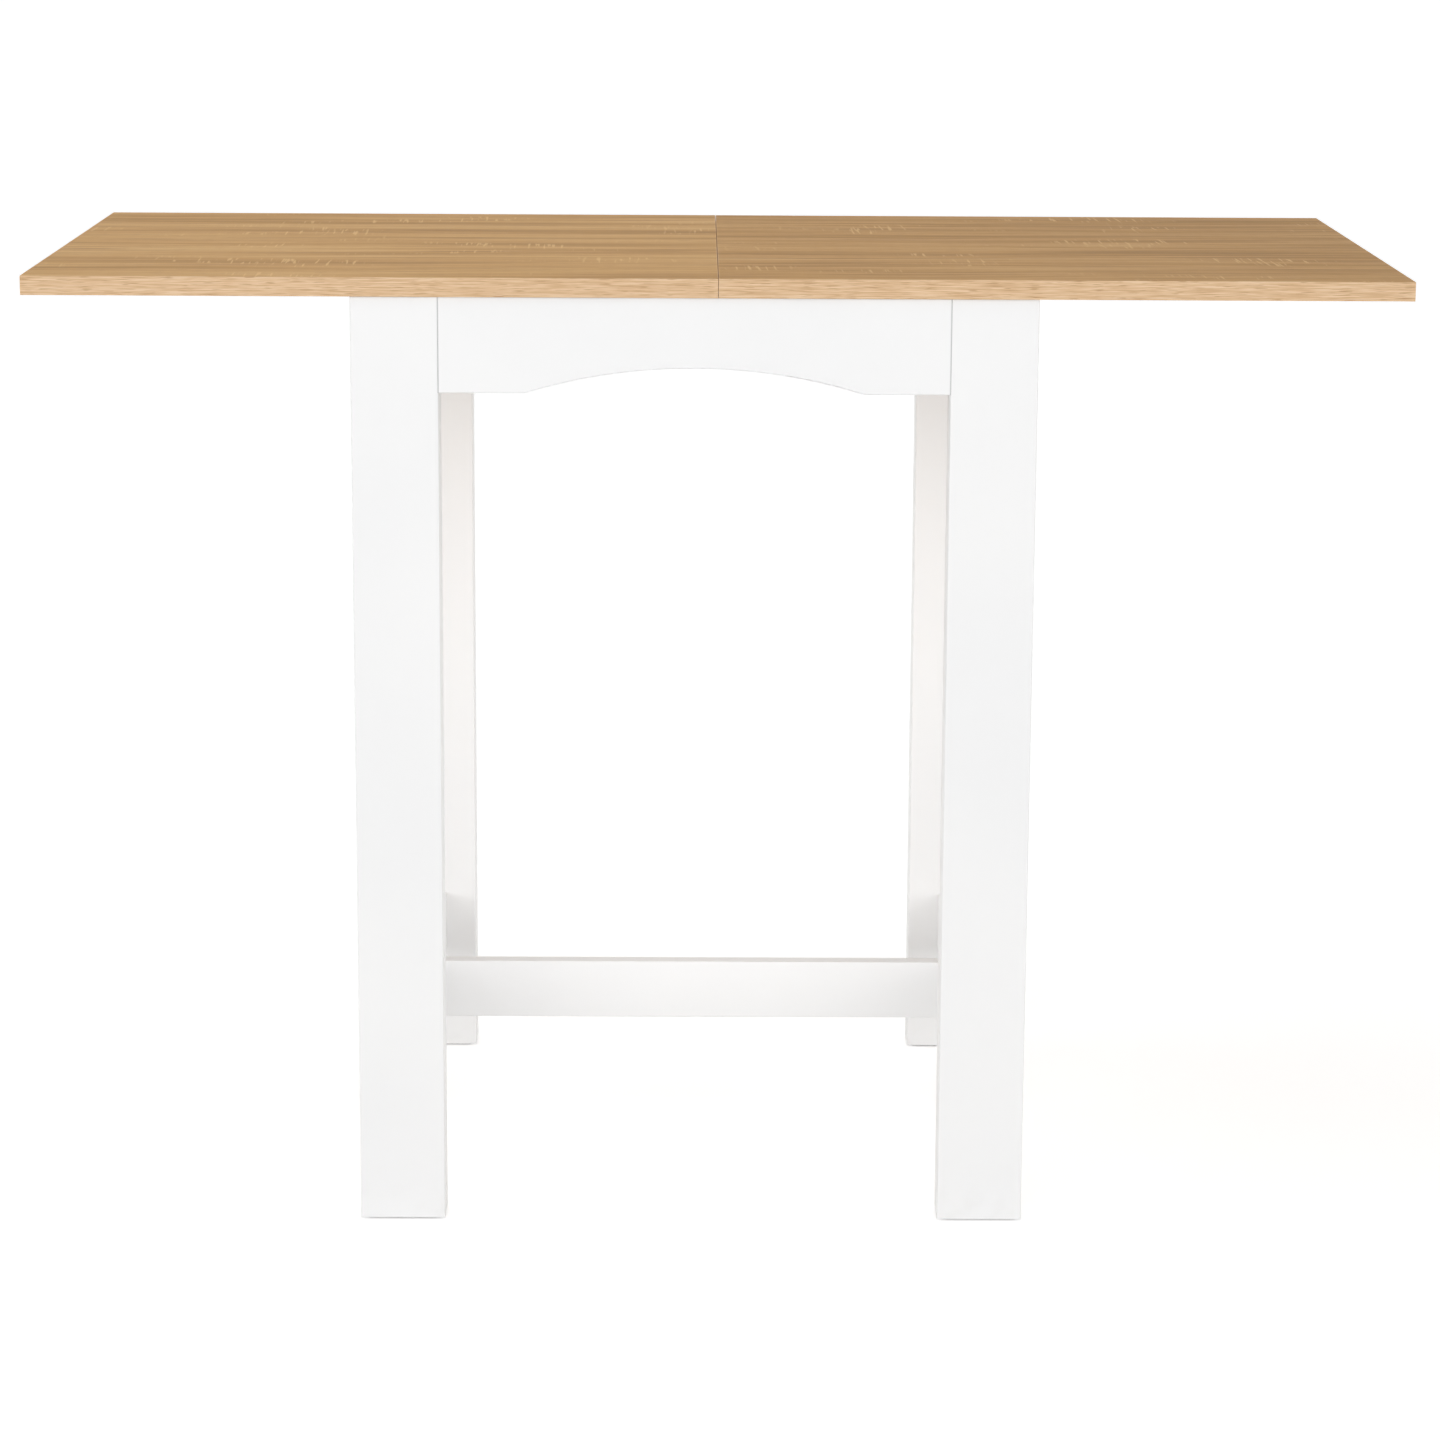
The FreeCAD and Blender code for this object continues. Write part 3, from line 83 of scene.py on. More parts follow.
# The mean of a noise from nought to one, and its spans: where a feature begins to show and where it is full
NOISE_MEAN = 0.5
NOISE_SPAN = (0.3, 0.7)
TONE_SPAN = (0.36, 0.64)
DASH_SPAN = (0.61, 0.68)
PORE_SPAN = (0.58, 0.70)
TICK_SPAN = (0.56, 0.68)
PATCH_SPAN = (0.55, 0.66)
SCUFF_SPAN = (0.45, 0.75)
ZINC_SPAN = (0.25, 0.75)

# Paint, nylon, zinc and felt
PAINT_DULL, PAINT_BRIGHT = (0.878, 0.880, 0.882), (0.902, 0.902, 0.900)
PAINT_GLOSS = (0.36, 0.50)
PAINT_SHINE = 0.4
# Painted shade in the joints between the legs and the long aprons: its grey and its share
PAINTED_JOINT_GREY = (0.36, 0.36, 0.37)
PAINTED_JOINT_SHARE = 0.6
SCUFF_GREY = (0.74, 0.73, 0.71)
SCUFF_SHARE = 0.2
SCUFF_HEIGHTS = (0.002, 0.05)
NYLON_DULL, NYLON_BRIGHT = (0.760, 0.758, 0.735), (0.835, 0.833, 0.815)
NYLON_GLOSS = (0.30, 0.46)
ZINC_CRYSTALS = 420.0
ZINC_SHARES = {"mottle": 0.7, "crystals": 0.3}
FELT_DARK, FELT_LIGHT = (0.30, 0.295, 0.285), (0.56, 0.55, 0.53)
FELT_GLOSS = (0.85, 1.0)
FELT_FIBRES, FELT_TUFTS = (1500.0, 900.0, 1500.0), (320.0, 320.0, 320.0)
FELT_SHARES = {"fibres": 0.65, "tufts": 0.35}

# A painted shade line is full within the first distance of its seam or joint and gone at the second
LINE_FADE = (0.0002, 0.0009)

# A surface faces along an axis when this part or more of its normal lies on it
FACING_LEAST = 0.5

# Felt pads: the gap to the leg's side, the rounded rim, the ring inside it, the share of the size at which
# the faces close, the power that squares the outline, and the steps round the pad and over the rim
PAD_INSET = 0.004
PAD_EDGE = 0.0007
PAD_RING = 0.012
PAD_MIDDLE_SHARE = 0.02
PAD_SQUARE = 0.16
PAD_TURNS = 96
PAD_RIM_STEPS = 7

# The studio: the floor's glow changes between two distances from the table, and the light weakens between
# two heights in the sky, given as sines. The sensor's width is in millimetres.
WHITE = (1.0, 1.0, 1.0)
FLOOR_GREY = (0.90, 0.90, 0.90)
FLOOR_REACH = 30.0
FLOOR_SPAN = (1.0, 4.0)
SKY_SPAN = (0.16, 0.72)
FILL_LAMP_GAP = 0.015
SENSOR_WIDTH = 36.0

# The Mix node's sockets for colours, by number because their names repeat
MIX_SHARE, MIX_UNDER, MIX_OVER, MIX_RESULT = 0, 6, 7, 2


def add(tree, kind, inputs=None, **settings):
    """A shader node of that kind with its settings, each given input set to a value or linked to a socket."""
    made = tree.nodes.new("ShaderNode" + kind)
    for name, value in settings.items():
        setattr(made, name, value)
    for key, value in (inputs or {}).items():
        if isinstance(value, bpy.types.NodeSocket):
            tree.links.new(value, made.inputs[key])
        else:
            made.inputs[key].default_value = value
    return made


def sums(tree, operation, *terms):
    """One arithmetic step on sockets or numbers."""
    return add(tree, "Math", dict(enumerate(terms)), operation=operation).outputs[0]


def weighed(tree, first, first_share, second, second_share):
    """Two values added, each by its share."""
    first_part = sums(tree, "MULTIPLY", first, first_share)
    second_part = sums(tree, "MULTIPLY", second, second_share)
    return sums(tree, "ADD", first_part, second_part)


def spread(tree, value, low, high, to_low=0.0, to_high=1.0):
    """The part of a value from low to high, eased onto the range from to_low to to_high."""
    inputs = {"Value": value, "From Min": low, "From Max": high, "To Min": to_low, "To Max": to_high}
    return add(tree, "MapRange", inputs, interpolation_type="SMOOTHSTEP").outputs["Result"]


def mixed(tree, share, under, over):
    """Two colours mixed by a share."""
    inputs = {MIX_SHARE: share, MIX_UNDER: under, MIX_OVER: over}
    return add(tree, "Mix", inputs, data_type="RGBA").outputs[MIX_RESULT]


def axes(tree, vector):
    """The X, Y and Z of a vector."""
    return add(tree, "SeparateXYZ", {0: vector}).outputs


def colour(rgb):
    """A colour with full alpha, as sockets take it."""
    return (*rgb, 1.0)


def tinted(rgb, shares):
    """A colour with each channel multiplied by its share."""
    return colour(part * share for part, share in zip(rgb, shares))


def cloud(tree, place, per_metre, detail=2.0, rough=0.5, turn=0.0, shift=(0.0, 0.0, 0.0)):
    """Smooth noise with so many features to the metre on each axis, turned by some degrees and shifted."""
    turned = (0.0, 0.0, math.radians(turn))
    inputs = {"Vector": place, "Scale": per_metre, "Rotation": turned, "Location": shift}
    laid = add(tree, "Mapping", inputs).outputs[0]
    inputs = {"Vector": laid, "Scale": 1.0, "Detail": detail, "Roughness": rough}
    return add(tree, "TexNoise", inputs).outputs[0]


def group(name, dials, labels):
    """A shader group that takes a place and a value for each dial, and puts out a value for each label: its
    tree, what it takes and what it gives."""
    tree = bpy.data.node_groups.new(name, "ShaderNodeTree")
    tree.interface.new_socket(name="Place", in_out="INPUT", socket_type="NodeSocketVector")
    for dial in dials:
        tree.interface.new_socket(name=dial, in_out="INPUT", socket_type="NodeSocketFloat")
    for label in labels:
        tree.interface.new_socket(name=label, in_out="OUTPUT", socket_type="NodeSocketFloat")
    return tree, tree.nodes.new("NodeGroupInput").outputs, tree.nodes.new("NodeGroupOutput").inputs


def grain_group():
    """Wood grain that runs along X and sways sideways: bands, fine streaks, short fibres, dark dashes and
    open pores."""
    tree, taken, told = group("wood_grain", ("Sway",), ("Bands", "Streaks", "Fibres", "Dashes", "Pores"))
    lean = sums(tree, "SUBTRACT", cloud(tree, taken["Place"], WANDER, detail=1.0), NOISE_MEAN)
    aside = add(tree, "CombineXYZ", {"Y": sums(tree, "MULTIPLY", lean, taken["Sway"])}).outputs[0]
    bent = add(tree, "VectorMath", {0: taken["Place"], 1: aside}, operation="ADD").outputs[0]
    dashes = cloud(tree, bent, DASHES)
    pores = cloud(tree, bent, PORES, detail=1.0)
    tree.links.new(cloud(tree, bent, BANDS, detail=5.0, rough=0.66), told["Bands"])
    tree.links.new(cloud(tree, bent, STREAKS, detail=4.0, rough=0.70), told["Streaks"])
    tree.links.new(cloud(tree, bent, FIBRES, rough=0.6), told["Fibres"])
    tree.links.new(spread(tree, dashes, *DASH_SPAN), told["Dashes"])
    tree.links.new(spread(tree, pores, *PORE_SPAN), told["Pores"])
    return tree


def fleck_group():
    """Pale ray flecks across the grain, thin and slanting, gathered in patches."""
    tree, taken, told = group("ray_flecks", (), ("Flecks",))
    place = taken["Place"]
    ticks = spread(tree, cloud(tree, place, FLECK_TICKS, detail=1.0, turn=FLECK_SLANT), *TICK_SPAN)
    patches = spread(tree, cloud(tree, place, FLECK_PATCHES, detail=1.0, shift=PATCH_SHIFT), *PATCH_SPAN)
    tree.links.new(sums(tree, "MULTIPLY", ticks, patches), told["Flecks"])
    return tree


def skin_group():
    """Fine even texture of a sprayed, moulded or plated skin, with slow drifts of tone."""
    tree, taken, told = group("fine_skin", (), ("Drift", "Mottle", "Peel"))
    for label, per_metre, detail in (("Drift", 3.1, 2.0), ("Mottle", 46.0, 3.0), ("Peel", 620.0, 2.0)):
        tree.links.new(cloud(tree, taken["Place"], (per_metre,) * 3, detail), told[label])
    return tree


GRAIN, FLECKS, SKIN = grain_group(), fleck_group(), skin_group()


def start(name):
    """A new material, its shader tree, its Principled shader and its texture coordinates."""
    made = bpy.data.materials.new(name)
    made.use_nodes = True
    tree = made.node_tree
    return made, tree, tree.nodes["Principled BSDF"], add(tree, "TexCoord").outputs


def used(tree, which, place, **dials):
    """The outputs of a shared group placed in a material, fed with the place and its dials set."""
    return add(tree, "Group", {"Place": place, **dials}, node_tree=which).outputs


def relief(tree, shader, height, strength, depth):
    """A bump of that depth in metres on the shader."""
    bump = add(tree, "Bump", {"Height": height, "Strength": strength, "Distance": depth})
    tree.links.new(bump.outputs["Normal"], shader.inputs["Normal"])


def facing(tree, coords, axis):
    """One where the surface faces along an axis, either way, else nought."""
    part = sums(tree, "ABSOLUTE", axes(tree, coords["Normal"])[axis])
    return sums(tree, "GREATER_THAN", part, FACING_LEAST)


def painted_shade_line(tree, distance, share):
    """The share of a painted shade line at a distance from its seam or joint."""
    return spread(tree, distance, *LINE_FADE, share, 0.0)


def wood_look(tree, place, lay, tones, weights, flecks=0.0):
    """Colour, streaks and height of wood. lay turns the place into grain coordinates, weights say how far the
    grain sways and how strongly its parts show, and flecks how strongly the ray flecks do."""
    laid = lay(tree, place)
    grain = used(tree, GRAIN, laid, Sway=weights["Sway"])
    level = weighed(tree, grain["Bands"], weights["Bands"], grain["Streaks"], weights["Streaks"])
    level = sums(tree, "MULTIPLY_ADD", grain["Fibres"], weights["Fibres"], level)
    ramp = add(tree, "ValToRGB", {"Fac": spread(tree, level, *TONE_SPAN)})
    stops = ramp.color_ramp.elements
    stops[0].color = colour(tones["dark"])
    stops[1].color = colour(tones["light"])
    stops.new(0.5).color = colour(tones["mid"])
    shown = ramp.outputs["Color"]
    for part in ("Dashes", "Pores"):
        share = sums(tree, "MULTIPLY", grain[part], weights[part])
        shown = mixed(tree, share, shown, tinted(tones["dark"], DEEP_OF_DARK))
    if flecks:
        share = sums(tree, "MULTIPLY", used(tree, FLECKS, laid)["Flecks"], flecks)
        shown = mixed(tree, share, shown, tinted(tones["light"], FLECK_OF_LIGHT))
    height = sums(tree, "SUBTRACT", grain["Streaks"], sums(tree, "MULTIPLY", grain["Pores"], PORE_DEPTH))
    return shown, grain["Streaks"], height


def wood(name, look, gloss, shine, cap=None):
    """A wood finish with that look. A cap is the look of an edge strip's narrow flat faces, which go with the
    leaf beside them. Along the seam, where x is nought, a strip gets painted shade and is dull, more so on
    those faces."""
    made, tree, shader, coords = start(name)
    place = coords["Object"]
    shown, streaks, height = wood_look(tree, place, **look)
    rough = spread(tree, streaks, *NOISE_SPAN, *gloss)
    if cap:
        flat = facing(tree, coords, "Z")
        shown = mixed(tree, flat, shown, wood_look(tree, place, **cap)[0])
        # Painted shade along the seam, stronger on the strip's flat faces; dark holds its share
        from_seam = sums(tree, "ABSOLUTE", axes(tree, place)["X"])
        painted_seam_on_face = sums(tree, "MULTIPLY", flat, painted_shade_line(tree, from_seam, PAINTED_SEAM_SHARES["face"]))
        dark = sums(tree, "MAXIMUM", painted_seam_on_face, painted_shade_line(tree, from_seam, PAINTED_SEAM_SHARES["band"]))
        shown = mixed(tree, dark, shown, colour(PAINTED_SEAM_BROWN))
        rough = sums(tree, "MAXIMUM", rough, dark)
    tree.links.new(shown, shader.inputs["Base Color"])
    tree.links.new(rough, shader.inputs["Roughness"])
    relief(tree, shader, height, strength=0.25, depth=0.00025)
    shader.inputs["Specular IOR Level"].default_value = shine
    return made


def flat_lay(turn, shift):
    """Grain along X in the plane of a leaf, turned by some degrees and shifted to its own piece of board."""
    turned = (0.0, 0.0, math.radians(turn))

    def lay(tree, place):
        inputs = {"Vector": place, "Rotation": turned, "Location": shift, "Scale": (1.0, 1.0, 0.0)}
        return add(tree, "Mapping", inputs).outputs[0]
    return lay


def strip_lay(tree, place):
    """Grain along an edge strip: the distance along it is x plus y, and the height is across the grain."""
    at = axes(tree, place)
    along = sums(tree, "ADD", at["X"], at["Y"])
    across = sums(tree, "MULTIPLY", at["Z"], EDGE_ACROSS)
    return add(tree, "CombineXYZ", {"X": along, "Y": across}).outputs[0]


def straight_lay(tree, place):
    """Grain along X right through the piece."""
    return add(tree, "Mapping", {"Vector": place, "Location": BOARD_SHIFT}).outputs[0]


def white_paint():
    """Satin white paint: a fine peel, slow drifts of tone, a little painted shade in the joints at the ends
    of the long aprons, and feet a little scuffed."""
    made, tree, shader, coords = start("white_paint")
    skin = used(tree, SKIN, coords["Object"])
    at = axes(tree, coords["Object"])
    tone = mixed(tree, spread(tree, skin["Drift"], *NOISE_SPAN), colour(PAINT_DULL), colour(PAINT_BRIGHT))
    # Painted shade in the joints at the ends of the long aprons, on faces that look along Y above the aprons'
    # underside
    low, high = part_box("apron_front")
    from_middle = sums(tree, "ABSOLUTE", sums(tree, "SUBTRACT", at["X"], (low.x + high.x) / 2.0))
    from_joint = sums(tree, "ABSOLUTE", sums(tree, "SUBTRACT", from_middle, (high.x - low.x) / 2.0))
    beside = sums(tree, "MULTIPLY", facing(tree, coords, "Y"), sums(tree, "GREATER_THAN", at["Z"], low.z))
    joint = sums(tree, "MULTIPLY", painted_shade_line(tree, from_joint, PAINTED_JOINT_SHARE), beside)
    tone = mixed(tree, joint, tone, colour(PAINTED_JOINT_GREY))
    at_foot = spread(tree, at["Z"], *SCUFF_HEIGHTS, 1.0, 0.0)
    scuff = sums(tree, "MULTIPLY", at_foot, spread(tree, skin["Mottle"], *SCUFF_SPAN))
    tone = mixed(tree, sums(tree, "MULTIPLY", scuff, SCUFF_SHARE), tone, colour(SCUFF_GREY))
    tree.links.new(tone, shader.inputs["Base Color"])
    tree.links.new(spread(tree, skin["Mottle"], *NOISE_SPAN, *PAINT_GLOSS), shader.inputs["Roughness"])
    relief(tree, shader, sums(tree, "ADD", skin["Peel"], skin["Mottle"]), strength=0.12, depth=0.00012)
    shader.inputs["Specular IOR Level"].default_value = PAINT_SHINE
    return made


def metal(name, dark, light, gloss, depth):
    """Zinc skin: its tone and gloss follow its mottles and its fine crystals."""
    made, tree, shader, coords = start(name)
    skin = used(tree, SKIN, coords["Object"])
    cells = add(tree, "TexVoronoi", {"Vector": coords["Object"], "Scale": ZINC_CRYSTALS}).outputs["Color"]
    crystals = add(tree, "SeparateColor", {0: cells}).outputs["Red"]
    level = weighed(tree, skin["Mottle"], ZINC_SHARES["mottle"], crystals, ZINC_SHARES["crystals"])
    tone = mixed(tree, spread(tree, level, *ZINC_SPAN), colour(dark), colour(light))
    tree.links.new(tone, shader.inputs["Base Color"])
    tree.links.new(spread(tree, level, *ZINC_SPAN, *gloss), shader.inputs["Roughness"])
    relief(tree, shader, skin["Peel"], strength=0.2, depth=depth)
    shader.inputs["Metallic"].default_value = 1.0
    return made


def nylon():
    """White nylon: faintly cloudy, with a moulded skin polished by sliding."""
    made, tree, shader, coords = start("nylon")
    skin = used(tree, SKIN, coords["Object"])
    tone = mixed(tree, spread(tree, skin["Mottle"], *NOISE_SPAN), colour(NYLON_DULL), colour(NYLON_BRIGHT))
    tree.links.new(tone, shader.inputs["Base Color"])
    tree.links.new(spread(tree, skin["Mottle"], *NOISE_SPAN, *NYLON_GLOSS), shader.inputs["Roughness"])
    relief(tree, shader, skin["Peel"], strength=0.15, depth=0.0001)
    shader.inputs["Subsurface Weight"].default_value = 0.08
    shader.inputs["Subsurface Scale"].default_value = 0.002
    return made


def felt():
    """Pressed grey felt: matted fibres of mixed greys."""
    made, tree, shader, coords = start("felt")
    fibres = cloud(tree, coords["Object"], FELT_FIBRES, detail=4.0, rough=0.7)
    tufts = cloud(tree, coords["Object"], FELT_TUFTS)
    level = weighed(tree, fibres, FELT_SHARES["fibres"], tufts, FELT_SHARES["tufts"])
    tone = mixed(tree, spread(tree, level, *NOISE_SPAN), colour(FELT_DARK), colour(FELT_LIGHT))
    tree.links.new(tone, shader.inputs["Base Color"])
    tree.links.new(spread(tree, fibres, *NOISE_SPAN, *FELT_GLOSS), shader.inputs["Roughness"])
    relief(tree, shader, level, strength=0.8, depth=0.0006)
    shader.inputs["Sheen Weight"].default_value = 0.35
    shader.inputs["Specular IOR Level"].default_value = 0.15
    return made


def pad_rings(half, tall):
    """How far in from the pad's side and how high each ring lies, from the middle of the floor face round the
    rim, a quarter turn of sine and cosine at either edge, to the middle of the face under the leg."""
    bend = np.linspace(0.0, np.pi / 2.0, PAD_RIM_STEPS)
    rim_in = PAD_EDGE * (1.0 - np.sin(bend))
    rim_up = PAD_EDGE * (1.0 - np.cos(bend))
    face_in = [half.min(), PAD_RING]
    inward = np.concatenate([face_in, rim_in, rim_in[::-1], face_in[::-1]])
    upward = np.concatenate([[0.0, 0.0], rim_up, tall - rim_up[::-1], [tall, tall]])
    return inward, upward


def pads_piece(legs):
    """Felt pads under the legs. Each ring of a pad is a squared-off oval, the cosine and sine of the angle
    raised to a small power with their signs kept, drawn in by pad_rings. The end rings are closed."""
    around = np.linspace(0.0, 2.0 * np.pi, PAD_TURNS, endpoint=False)
    circle = np.stack([np.cos(around), np.sin(around)], 1)
    outline = np.sign(circle) * np.abs(circle) ** PAD_SQUARE
    points, polygons, base = [], [], 0
    for leg in legs:
        low, high = (np.array(corner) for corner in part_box(leg))
        half = (high - low)[:2] / 2.0 - PAD_INSET
        middle = ((low + high) / 2.0)[:2]
        inward, upward = pad_rings(half, low[2])
        size = np.maximum(half[None, :] - inward[:, None], half[None, :] * PAD_MIDDLE_SHARE)
        flat = outline[None, :, :] * size[:, None, :] + middle
        rise = np.broadcast_to(upward[:, None, None], flat.shape[:2] + (1,))
        points.append(np.concatenate([flat, rise], 2).reshape(-1, 3))
        last = len(inward) - 1
        ring, turn = np.meshgrid(np.arange(last) * PAD_TURNS + base, np.arange(PAD_TURNS), indexing="ij")
        onward = (turn + 1) % PAD_TURNS
        above = ring + PAD_TURNS
        walls = np.stack([ring + turn, ring + onward, above + onward, above + turn], -1)
        polygons += walls.reshape(-1, 4).tolist()
        polygons.append((base + np.arange(PAD_TURNS)[::-1]).tolist())
        polygons.append((base + last * PAD_TURNS + np.arange(PAD_TURNS)).tolist())
        base += len(inward) * PAD_TURNS
    mesh = bpy.data.meshes.new("felt_pads")
    mesh.from_pydata(np.concatenate(points).tolist(), [], polygons)
    mesh.polygons.foreach_set("use_smooth", np.ones(len(mesh.polygons), bool))
    mesh.update()
    piece = bpy.data.objects.new("felt_pads", mesh)
    scene.collection.objects.link(piece)
    return piece


LEFT_LAY = flat_lay(turn=-1.2, shift=(3.1, 1.7, 0.0))
RIGHT_LAY = flat_lay(turn=-1.8, shift=(-7.3, 5.2, 0.0))
LEFT_FACE = {"lay": LEFT_LAY, "tones": OAK_LEFT, "weights": GRAIN_FACE, "flecks": 0.65}
RIGHT_FACE = {"lay": RIGHT_LAY, "tones": OAK_RIGHT, "weights": GRAIN_FACE, "flecks": 0.80}
EDGE_STRIP = {"lay": strip_lay, "tones": OAK_EDGE, "weights": GRAIN_EDGE}
BARE_BEECH = {"lay": straight_lay, "tones": BEECH, "weights": GRAIN_PLAIN}
BARE_DOWEL = {"lay": straight_lay, "tones": DOWEL, "weights": GRAIN_PLAIN}
finishes = {
    "white_paint": white_paint(),
    "oak_left": wood("oak_left", LEFT_FACE, gloss=(0.56, 0.68), shine=0.12),
    "oak_right": wood("oak_right", RIGHT_FACE, gloss=(0.56, 0.68), shine=0.12),
    "edging_left": wood("edging_left", EDGE_STRIP, gloss=(0.48, 0.60), shine=0.2, cap=LEFT_FACE),
    "edging_right": wood("edging_right", EDGE_STRIP, gloss=(0.48, 0.60), shine=0.2, cap=RIGHT_FACE),
    "beech": wood("beech", BARE_BEECH, gloss=(0.55, 0.70), shine=0.3),
    "dowel_wood": wood("dowel_wood", BARE_DOWEL, gloss=(0.60, 0.75), shine=0.25),
    "zinc_steel": metal("zinc_steel", dark=(0.52, 0.53, 0.55), light=(0.70, 0.70, 0.72), gloss=(0.24, 0.40),
                        depth=0.00005),
    "cast_zinc": metal("cast_zinc", dark=(0.40, 0.40, 0.42), light=(0.56, 0.56, 0.58), gloss=(0.38, 0.55),
                       depth=0.0001),
    "nylon": nylon(),
    "felt": felt(),
}

# How the names of the nodes that wear each finish start, edgings before the leaves that start the same
WEARS = {
    "white_paint": ("leg_", "apron_front", "apron_back", "apron_left", "apron_right", "stretcher_left",
                    "stretcher_right", "stretcher_centre"),
    "edging_left": ("left_leaf_edging",),
    "edging_right": ("right_leaf_edging",),
    "oak_left": ("left_leaf",),
    "oak_right": ("right_leaf",),
    "beech": ("joint_block", "guide_rail", "runner_front", "runner_back"),
    "dowel_wood": ("apron_dowels", "stretcher_dowels"),
    "cast_zinc": ("cam_locks", "hinge_cups"),
    "zinc_steel": ("cam_bolts", "stretcher_bolts", "barrel_nuts", "block_bolts", "block_washers",
                   "threaded_inserts", "block_screws", "rail_screws", "runner_screws", "hinge_links",
                   "hinge_pins", "hinge_screws"),
    "nylon": ("glide_strips",),
    "felt": ("foot_pads",),
}


def finish_of(name):
    """The finish that a CAD node wears."""
    return next(finishes[finish] for finish, starts in WEARS.items() if name.startswith(starts))


for name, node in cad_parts.items():
    node.data.materials.clear()
    node.data.materials.append(finish_of(name))

pads = pads_piece(("leg_front_left", "leg_front_right", "leg_back_left", "leg_back_right"))
pads.data.materials.append(finishes["felt"])
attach(pads, "frame")
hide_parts("foot_pads")


def seen_share(tree):
    """One for rays that show the backdrop straight, mirrored or through glass, else nought."""
    path = add(tree, "LightPath").outputs
    share = sums(tree, "MAXIMUM", path["Is Camera Ray"], path["Is Glossy Ray"])
    return sums(tree, "MAXIMUM", share, path["Is Transmission Ray"])


def studio(low, high, sides):
    """White surroundings that light the table softly, more from near the floor than from above, and less
    from the two sides than from the front and the back."""
    world = bpy.data.worlds.new("studio")
    scene.world = world
    world.use_nodes = True
    tree = world.node_tree
    back = tree.nodes["Background"]
    back.inputs["Color"].default_value = colour(WHITE)
    way = axes(tree, add(tree, "TexCoord").outputs["Generated"])
    lean = sums(tree, "MULTIPLY_ADD", sums(tree, "MULTIPLY", way["Y"], way["Y"]), 2.0 - 2.0 * sides, sides)
    light = sums(tree, "MULTIPLY", spread(tree, way["Z"], *SKY_SPAN, low, high), lean)
    seen = seen_share(tree)
    unseen_light = sums(tree, "MULTIPLY", light, sums(tree, "SUBTRACT", 1.0, seen))
    tree.links.new(sums(tree, "ADD", seen, unseen_light), back.inputs["Strength"])


def floor_piece(near, far):
    """A pale floor that shows nearly white and keeps the table's soft shadow. For rays that show it, it glows
    by near under the table and by far away from it. It lights the table as plain pale grey."""
    corners = [(-FLOOR_REACH, -FLOOR_REACH, 0), (FLOOR_REACH, -FLOOR_REACH, 0), (FLOOR_REACH, FLOOR_REACH, 0),
               (-FLOOR_REACH, FLOOR_REACH, 0)]
    mesh = bpy.data.meshes.new("floor")
    mesh.from_pydata(corners, [], [(0, 1, 2, 3)])
    piece = bpy.data.objects.new("floor", mesh)
    scene.collection.objects.link(piece)
    made = bpy.data.materials.new("floor")
    made.use_nodes = True
    tree = made.node_tree
    tree.nodes.remove(tree.nodes["Principled BSDF"])
    place = add(tree, "TexCoord").outputs["Object"]
    away = add(tree, "VectorMath", {0: place}, operation="LENGTH").outputs["Value"]
    strength = spread(tree, away, *FLOOR_SPAN, near, far)
    glow = add(tree, "Emission", {"Color": colour(WHITE), "Strength": strength})
    shaded = add(tree, "BsdfDiffuse", {"Color": colour(WHITE)})
    plain = add(tree, "BsdfDiffuse", {"Color": colour(FLOOR_GREY)})
    shown = add(tree, "AddShader", {0: glow.outputs[0], 1: shaded.outputs[0]})
    out = add(tree, "MixShader", {0: seen_share(tree), 1: plain.outputs[0], 2: shown.outputs[0]})
    tree.links.new(out.outputs[0], tree.nodes["Material Output"].inputs["Surface"])
    mesh.materials.append(made)


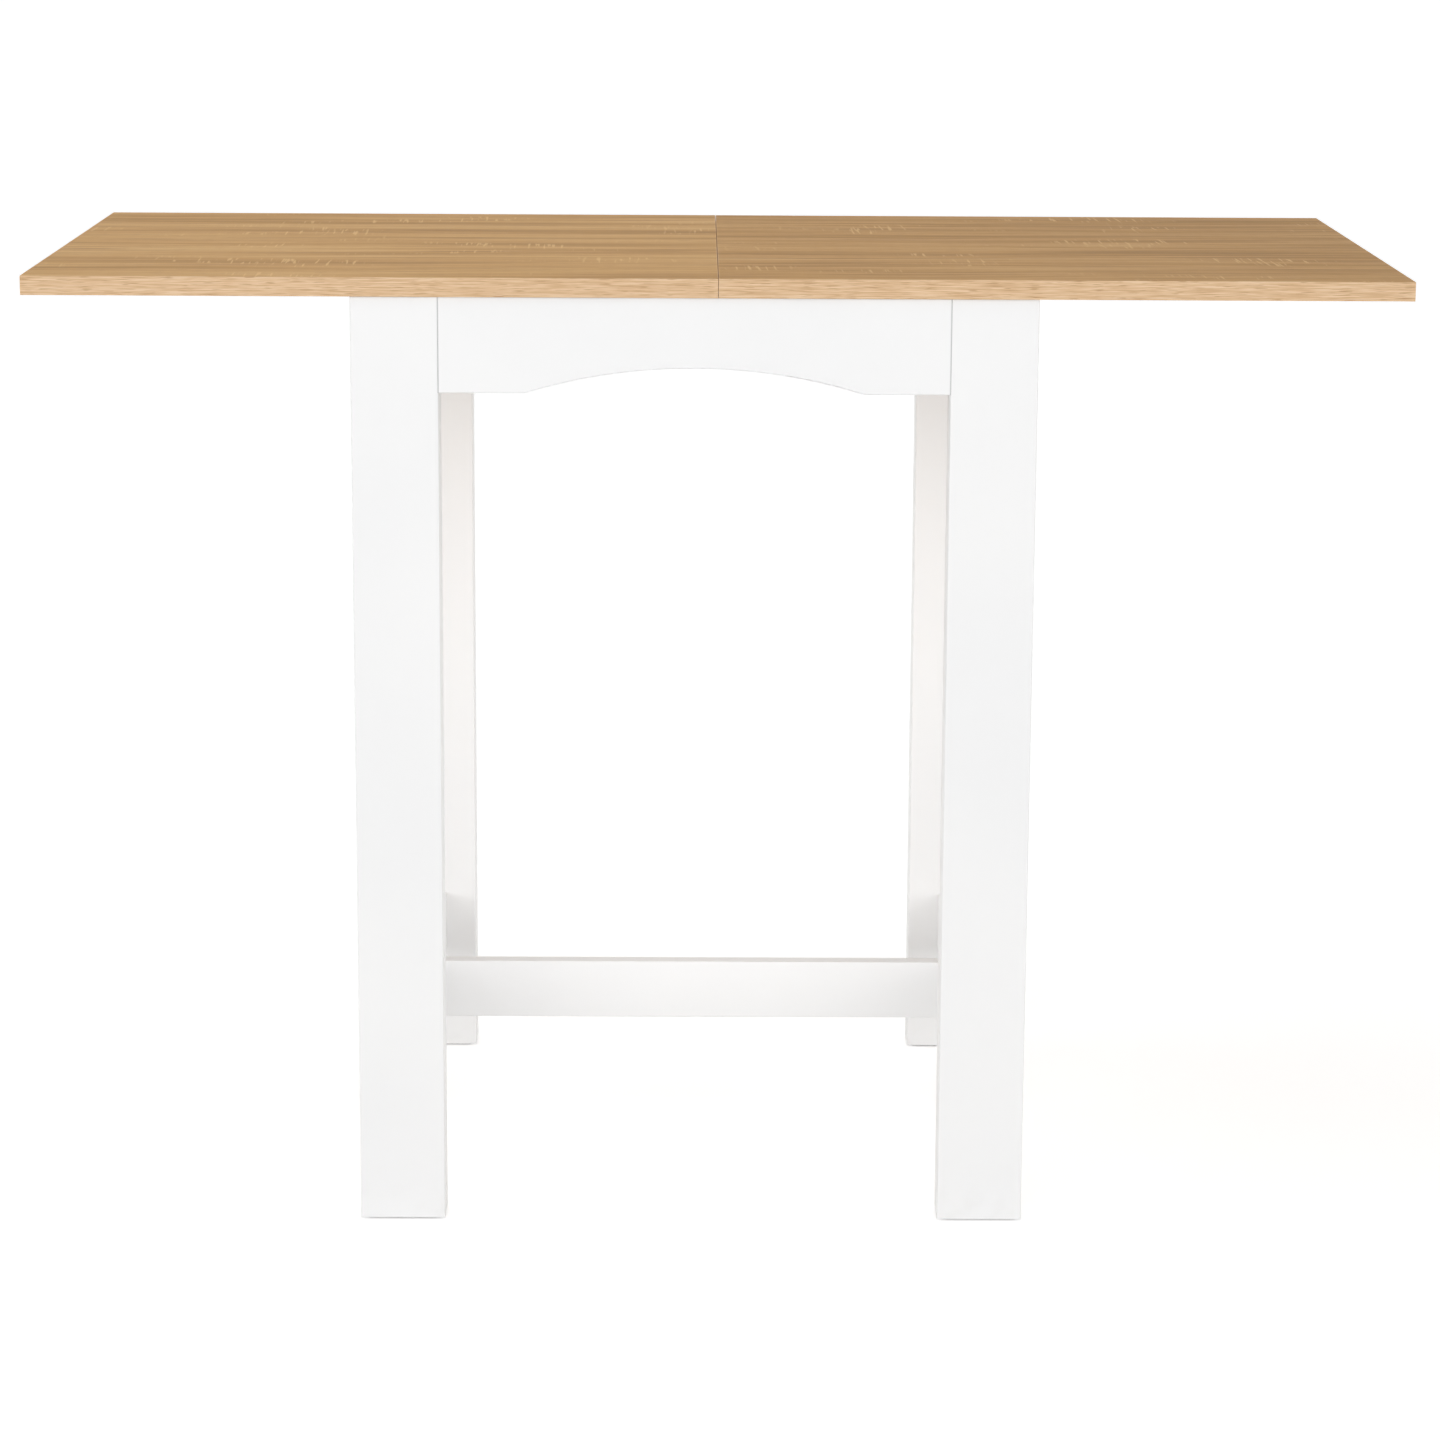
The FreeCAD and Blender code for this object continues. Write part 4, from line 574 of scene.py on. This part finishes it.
def softbox(name, place, aim, size, power):
    """A soft lamp, wide by tall, at a place, turned to its aim."""
    data = bpy.data.lights.new(name, "AREA")
    data.shape = "RECTANGLE"
    data.energy = power
    data.size, data.size_y = size
    lamp = bpy.data.objects.new(name, data)
    lamp.location = place
    lamp.rotation_mode = "QUATERNION"
    lamp.rotation_quaternion = (Vector(aim) - Vector(place)).to_track_quat("-Z", "Y")
    scene.collection.objects.link(lamp)
    return lamp


def fill_light(height, aim_height, size, power):
    """A weak unseen lamp between the front legs and just behind them, which shines towards the back legs and
    lifts the shade under the top."""
    apron_low, apron_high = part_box("apron_front")
    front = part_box("leg_front_left")[1].y + FILL_LAMP_GAP
    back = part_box("leg_back_left")[0].y
    middle = (apron_low.x + apron_high.x) / 2.0
    place, aim = (middle, front, height), (middle, back, aim_height)
    lamp = softbox("fill_lamp", place, aim, size, power)
    lamp.visible_camera = False
    lamp.visible_glossy = False


def camera(place, yaw, pitch, roll, lens):
    """The photograph's camera: turned by yaw towards +X, tipped down by pitch, and rolled, all in degrees."""
    yaw, pitch, roll = (math.radians(angle) for angle in (yaw, pitch, roll))
    up = Vector((0, 0, 1))
    ahead = Vector((math.sin(yaw), math.cos(yaw), 0))
    right = Vector((math.cos(yaw), -math.sin(yaw), 0))
    look = ahead * math.cos(pitch) - up * math.sin(pitch)
    over = up * math.cos(pitch) + ahead * math.sin(pitch)
    across = right * math.cos(roll) + over * math.sin(roll)
    above = over * math.cos(roll) - right * math.sin(roll)
    data = bpy.data.cameras.new("camera")
    data.lens = lens
    data.sensor_width = SENSOR_WIDTH
    data.clip_start, data.clip_end = 0.05, 200.0
    piece = bpy.data.objects.new("camera", data)
    turn = Matrix((across, above, -look)).transposed().to_4x4()
    piece.matrix_world = Matrix.Translation(place) @ turn
    scene.collection.objects.link(piece)
    scene.camera = piece


studio(low=1.87, high=0.29, sides=0.7)
floor_piece(near=0.395, far=0.46)
softbox("front_lamp", place=(-0.6, -4.6, 0.8), aim=(0.0, 0.0, 0.4), size=(4.0, 1.2), power=17.0)
softbox("top_lamp", place=(-0.4, -0.2, 2.5), aim=(-0.1, 0.0, 0.0), size=(2.2, 1.2), power=12.0)
fill_light(height=0.58, aim_height=0.52, size=(0.26, 0.40), power=0.66)
camera(place=(-0.0223, -4.2579, 1.3376), yaw=0.377, pitch=12.019, roll=0.311, lens=105.64)
scene.view_settings.view_transform = "Standard"
